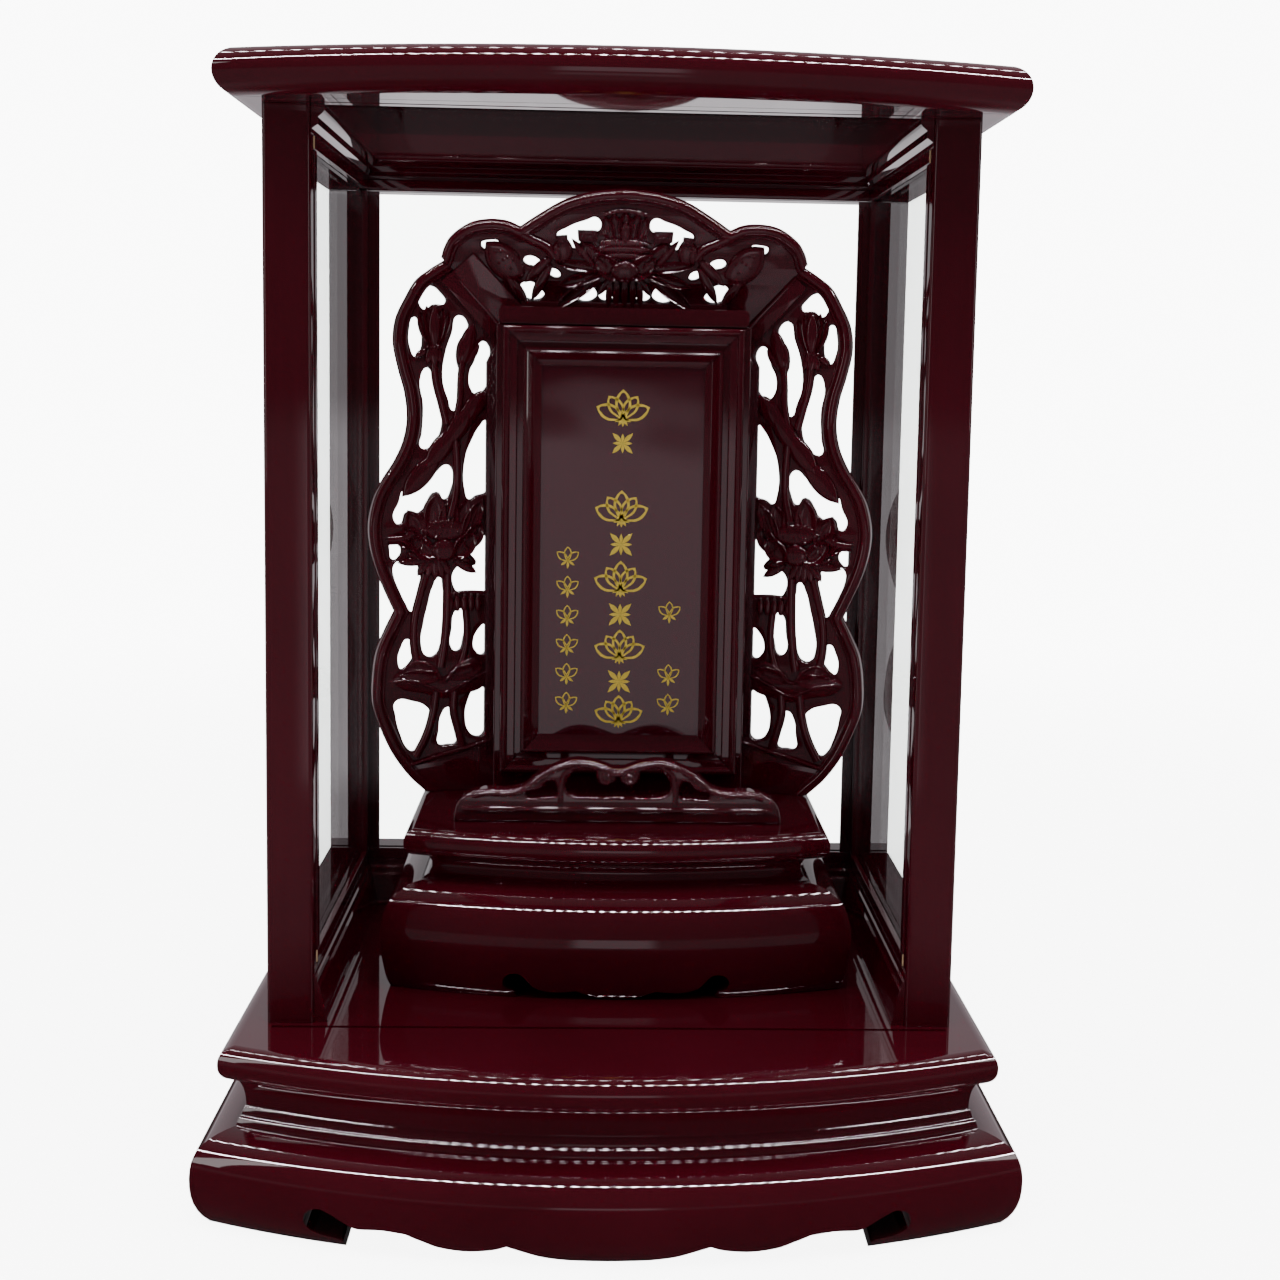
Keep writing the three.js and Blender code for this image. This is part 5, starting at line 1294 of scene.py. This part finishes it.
wing_line = eased(WING_UPPER)[:-1] + eased(WING_LOWER) + [(-0.3, -0.08), (-0.3, 1.06)]
wing_ground = fretwork(
    "wing_right_piece",
    [sized(
        [(*place, "corner") for place in wing_line],
        WING_WIDTH - WING_SET_BACK[0], WING_HEIGHT - WING_SET_BACK[1],
    )]
    + [sized(line, WING_WIDTH, WING_HEIGHT) for line in WING_OPENINGS],
    GROUND - CARVED_BACK, FRET_ROUNDING,
)
wing_ground.location.z = GROUND * MM
wing_parts = [
    wing_ground,
    rolled_rim("wing_rim", sized(wing_line, WING_WIDTH, WING_HEIGHT)),
    raised("wing_rib", beside_mitre(0, WING_HEIGHT - MITRE_UP, 1, WING_RIB_HALF), high=-0.2),
    raised("wing_ridge", beside_mitre(0, WING_HEIGHT - MITRE_UP, 1, WING_RIDGE_HALF), high=0.5),
    raised("wing_border", WING_BORDER, high=-0.9),
    *petals(WING_PETALS, *on_wing),
    *vines(WING_VINES, *on_wing),
    *beads_at(WING_SEEDS, SEED_RADIUS, -0.6, *on_wing),
    *beads_at(BUD_DROPS, DROP_RADIUS, -0.5, *on_wing),
]
leaf_line = [(x * on_wing[0], y + on_wing[1]) for x, y in reversed(eased(WING_LEAF, 3, closed=True))]
wing_parts.append(raised("wing_leaf", leaf_line, high=-0.8, edge=1.2))
wing_strip = raised("wing_strip", WING_STRIP, high=-0.6)
wing_right = set_up(
    wing_parts, [wing_strip], wing_out, UP, wing_face,
    Vector((HINGE.x, HINGE.y, spot(0, 0, WING_FOOT).z)),
    [(HINGE, above_wing), (spot(BESIDE_CASE, 0, 0), -RIGHT), (spot(0, 0, WING_FOOT), -UP)],
)
wing_left = twin(wing_right, "wing_left_piece")

# The crest's lotus stands on a fluted stem between long leaves, a round bud, a stalk and a seed pod
CREST_MIDDLE = [
    (CUPPED, 0, 50, 0, 68, 5, 2.6, -3), (FULL, 0, 48, 0, 63, 3, 2.8, -2.4),
    (FULL, -16, 49, 16, 49, 3, 2.6, -2.4), (FULL, -17, 45.5, 17, 45.5, 3.2, 2.8, -2.2),
    (FULL, -14, 42, 14, 42, 2.8, 2.6, -2.2), (FULL, 0, 26, 0, 39.5, 9, 3.4, -1.2),
    (FULL, 0, 29, 0, 9, 2.4, 3, -3),
]
CREST_RIGHT = [
    (CUPPED, 4, 50, 7.5, 67, 4.4, 2.5, -3), (CUPPED, 8, 50, 12.5, 65, 4.2, 2.3, -3),
    (CUPPED, 12, 34, 26, 50, 5, 2.6, -3), (FULL, 17, 33, 32, 51, 2.4, 2.6, -3),
    (CUPPED, 5, 28, 16.5, 43, 7, 3.2, -1.9), (FULL, 9, 30, 19, 41, 3, 2.8, -2),
    (FULL, 4.6, 29, 5.2, 9, 2.4, 2.8, -3), (FULL, 8.6, 28, 9.8, 9, 2.2, 2.6, -3),
    (FULL, 8, 29, 16, 17, 2.2, 2.4, -3), (CUPPED, 12, 33, 42, 37, 3.6, 2.8, -3),
    (CUPPED, 13, 31, 40, 23, 4, 3, -2.9), (CUPPED, 14, 30, 42, 9, 4.2, 3, -2.9),
    (FULL, 38, 36, 37, 52, 6.4, 2.8, -3), (FULL, 40, 37, 41, 49, 2.6, 2.8, -2),
    (FULL, 44, 40, 60, 24, 3.4, 2.6, -3), (FULL, 44, 36, 56, 13, 3.2, 2.4, -3),
    (FULL, 62, 26, 83, 48, 9.5, 2.4, -3), (FULL, 70, 28, 58, 11, 3, 2.4, -3),
]
CREST_STALK, CREST_BOW = [(66, 55), (56, 50), (46, 45), (42, 40)], [(-13, 66), (0, 68.5), (13, 66)]
POD_SEEDS = [(68, 33), (72.5, 38), (77, 42.5), (70, 39.5), (75, 36), (66.5, 38), (74, 43)]
CREST_BORDER = [(-62, 5), (62, 5), (62, 13.2), (-62, 13.2)]
CREST_BLOCK = [(16.5, 49.5), (28, 50), (28.5, 56), (17, 56)]
CREST_BUD_TOP = [(34, 48.5), (40, 48), (40.5, 52.5), (34.5, 53)]

crest_half = eased(CREST_SHOULDER)[:-1] + eased(CREST_ARCH)
crest_line = [(1.1, -0.2)] + crest_half + [(-x, y) for x, y in reversed(crest_half)][1:] + [(-1.1, -0.2)]
crest_holes = [line for opening in CREST_OPENINGS for line in (opening, other_side(opening))]
crest_ground = fretwork(
    "crest_piece",
    [sized(
        [(*place, "corner") for place in crest_line],
        CREST_HALF - CREST_SET_BACK[0], CREST_HEIGHT - CREST_SET_BACK[1],
    )]
    + [sized(line, CREST_HALF, CREST_HEIGHT) for line in crest_holes],
    GROUND - CARVED_BACK, FRET_ROUNDING,
)
crest_ground.location.z = GROUND * MM
rib = beside_mitre(HINGE_ACROSS, 0, -1, CREST_RIB_HALF)
crest_parts = [
    crest_ground,
    rolled_rim("crest_rim", sized(crest_line, CREST_HALF, CREST_HEIGHT)),
    raised("crest_rib_right", rib),
    raised("crest_rib_left", other_side(rib)),
    raised("crest_border", CREST_BORDER, high=-1),
    *petals(CREST_MIDDLE + CREST_RIGHT + other_side_rows(CREST_RIGHT)),
    *vines([(CREST_STALK, 3.4, -3), (CREST_BOW, 1.3, -1.4), ([(-x, y) for x, y in CREST_STALK], 3.4, -3)]),
    *beads_at(POD_SEEDS + [(-x, y) for x, y in POD_SEEDS], DROP_RADIUS, -0.9),
]
crest_stippled = [
    raised("crest_block", line, high=0.2)
    for shape in (CREST_BLOCK, CREST_BUD_TOP) for line in (shape, other_side(shape))
]
crest = set_up(
    crest_parts, crest_stippled, RIGHT, crest_up, crest_face, Vector((0, HINGE.y, HINGE.z)),
    [(HINGE, -above_wing), (mirrored(HINGE), -mirrored(above_wing))],
)
cap_space = [
    spot(side * BESIDE_CASE, CAP_CUT_FRONT, level)
    for side, level in ((-1, CAP_CUT_LOW), (1, CAP_CUT_LOW), (1, CAP_TOP), (-1, CAP_TOP))
]
cut_out(crest, plank("cap_cutter", cap_space, Vector((0, CAP_CUT_DEPTH * MM, 0))))
for pattern in patterns.values():
    bpy.data.objects.remove(pattern)
set_over(wing_right, wing_left, crest)
hand_over(wing_right, ["wing_right"], "tablet", "carved_lacquer", None, **CURVED)
hand_over(wing_left, ["wing_left"], "tablet", "carved_lacquer", None, **CURVED)
hand_over(crest, ["crest"], "tablet", "carved_lacquer", None, **CURVED)


# Face of the tablet
# Four mitred moulded lengths hold a thin panel, and the whole face pushes into the case by hand.
panel_lacquer = lacquer(
    "panel_lacquer", "z", (0.036, 0.0014, 0.0052, 1), (0.042, 0.0018, 0.0066, 1),
    gloss=0.03, ripples=0.01, waves=0.0016,
)
for edge in ("top", "bottom"):
    dressed(f"face_{edge}", "tablet_face", "lacquer", lacquer_across, **MOULDED)
for side in ("left", "right"):
    dressed(f"face_side_{side}", "tablet_face", "lacquer", lacquer_up, **MOULDED)
dressed("face_panel", "tablet_face", "panel_lacquer", panel_lacquer, rounding=0.3)


# Gilding on the panel
# A column of lotus flowers and rosettes in gold paint down the middle of the panel, with a shorter row
# of small flowers at each side of it.
GILT_RISE, GILT_ROUNDING, GILT_SHOWN = 0.3, 0.08, 0.8
PETAL_STROKE, DROP_STROKE = (13.5, 7.6, 1.15), (7.6, 2.3)

gold_paint = bpy.data.materials.new("gold_paint")
gold = Finish(gold_paint)
gold_where = gold.node("ShaderNodeTexCoord", output="Object")
brushed = gold.noise(gold_where, 900.0, 3.0)
gold.close(gold.node("ShaderNodeBsdfPrincipled", inputs={
    "Base Color": gold.blend(brushed, (0.62, 0.42, 0.04, 1), (0.9, 0.66, 0.1, 1)),
    "Metallic": 0.3,
    "Roughness": 0.34 + brushed * 0.12,
    "Normal": gold.bump(0.35, 0.0002, brushed),
}))


def gilt_petal(length, breadth, stroke):
    """One petal drawn with the brush as a closed line round an empty middle, its foot at the origin."""
    shape = [(0, 0), (0.42, 0.3), (0.5, 0.55), (0.34, 0.8), (0, 1), (-0.34, 0.8), (-0.5, 0.55), (-0.42, 0.3)]
    outer = [(x * breadth, y * length) for x, y in shape]
    inner = [
        (x * (breadth - 2 * stroke), stroke + y * (length - 2.4 * stroke)) for x, y in reversed(shape)
    ]
    outer[4] = (*outer[4], "corner")
    return fretwork("gilt_petal", [outer, inner], GILT_RISE, GILT_ROUNDING)


def gilt_drop(length, breadth):
    """One solid stroke of the brush, pointed at both ends."""
    outline = [
        (0, 0, "corner"), (breadth / 2, length * 0.55), (0, length, "corner"), (-breadth / 2, length * 0.55),
    ]
    return fretwork("gilt_drop", [outline], GILT_RISE, GILT_ROUNDING)


def gilt_copies(pattern, rows):
    """Copies of a stroke. Each row is its place, its turn from upright in degrees and its size."""
    made = []
    for x, z, turn, size in rows:
        piece = copy_of(pattern, "gilt_stroke")
        piece.matrix_world = (
            Matrix.Translation(Vector((x, z, 0)) * MM) @ Matrix.Rotation(radians(-turn), 4, "Z")
            @ Matrix.Diagonal((size, size, 1, 1))
        )
        made.append(piece)
    return made


LOTUS_PLACES = [(318, 1.15), (258.5, 1.15), (216.5, 1.15), (176, 1.1), (137, 1.05)]
ROSETTE_PLACES = [(303, 0.9), (243, 1), (201, 1), (160.5, 1)]
SIDE_COLUMNS = {-31.5: [233, 215.5, 198, 180.5, 163, 145.5], 29.5: [201, 163, 145]}
LOTUS_PETALS = [(-68, 1.1), (-34, 1), (0, 1.08), (34, 1), (68, 1.1)]
LOTUS_SEPALS, SEPAL_SIZE = (-118, -150, 180, 150, 118), 0.62
ROSETTE_SPOKES, STRAIGHT_SPOKE, SLANTED_SPOKE = range(0, 360, 45), 0.85, 1.25
SMALL_PETALS, SMALL_PETAL_SIZE = (-52, 0, 52), 0.62
SMALL_SEPALS, SMALL_SEPAL_SIZE = (-125, 180, 125), 0.66

petal_rows, drop_rows = [], []
for z, size in LOTUS_PLACES:
    petal_rows += [(0, z, turn, size * long) for turn, long in LOTUS_PETALS]
    drop_rows += [(0, z, turn, size * SEPAL_SIZE) for turn in LOTUS_SEPALS]
for z, size in ROSETTE_PLACES:
    drop_rows += [
        (0, z, turn, size * (SLANTED_SPOKE if turn % 90 else STRAIGHT_SPOKE)) for turn in ROSETTE_SPOKES
    ]
for x, column in SIDE_COLUMNS.items():
    for z in column:
        petal_rows += [(x, z, turn, SMALL_PETAL_SIZE) for turn in SMALL_PETALS]
        drop_rows += [(x, z, turn, SMALL_SEPAL_SIZE) for turn in SMALL_SEPALS]
petal_stroke, drop_stroke = gilt_petal(*PETAL_STROKE), gilt_drop(*DROP_STROKE)
gilding = join(gilt_copies(petal_stroke, petal_rows) + gilt_copies(drop_stroke, drop_rows))
gilding.name = "panel_gilding"
bpy.data.objects.remove(petal_stroke)
bpy.data.objects.remove(drop_stroke)
settle(gilding)
panel_front = min(corner.co.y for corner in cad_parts["face_panel"].data.vertices)
gilt_foot = Vector((TABLET_OFFSET * MM, panel_front - GILT_RISE * GILT_SHOWN * MM, spot(0, 0, 0).z))
lay(gilding, RIGHT, UP, FORWARD, gilt_foot)
gilding.data.materials.clear()
gilding.data.materials.append(gold_paint)
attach(gilding, "tablet_face")
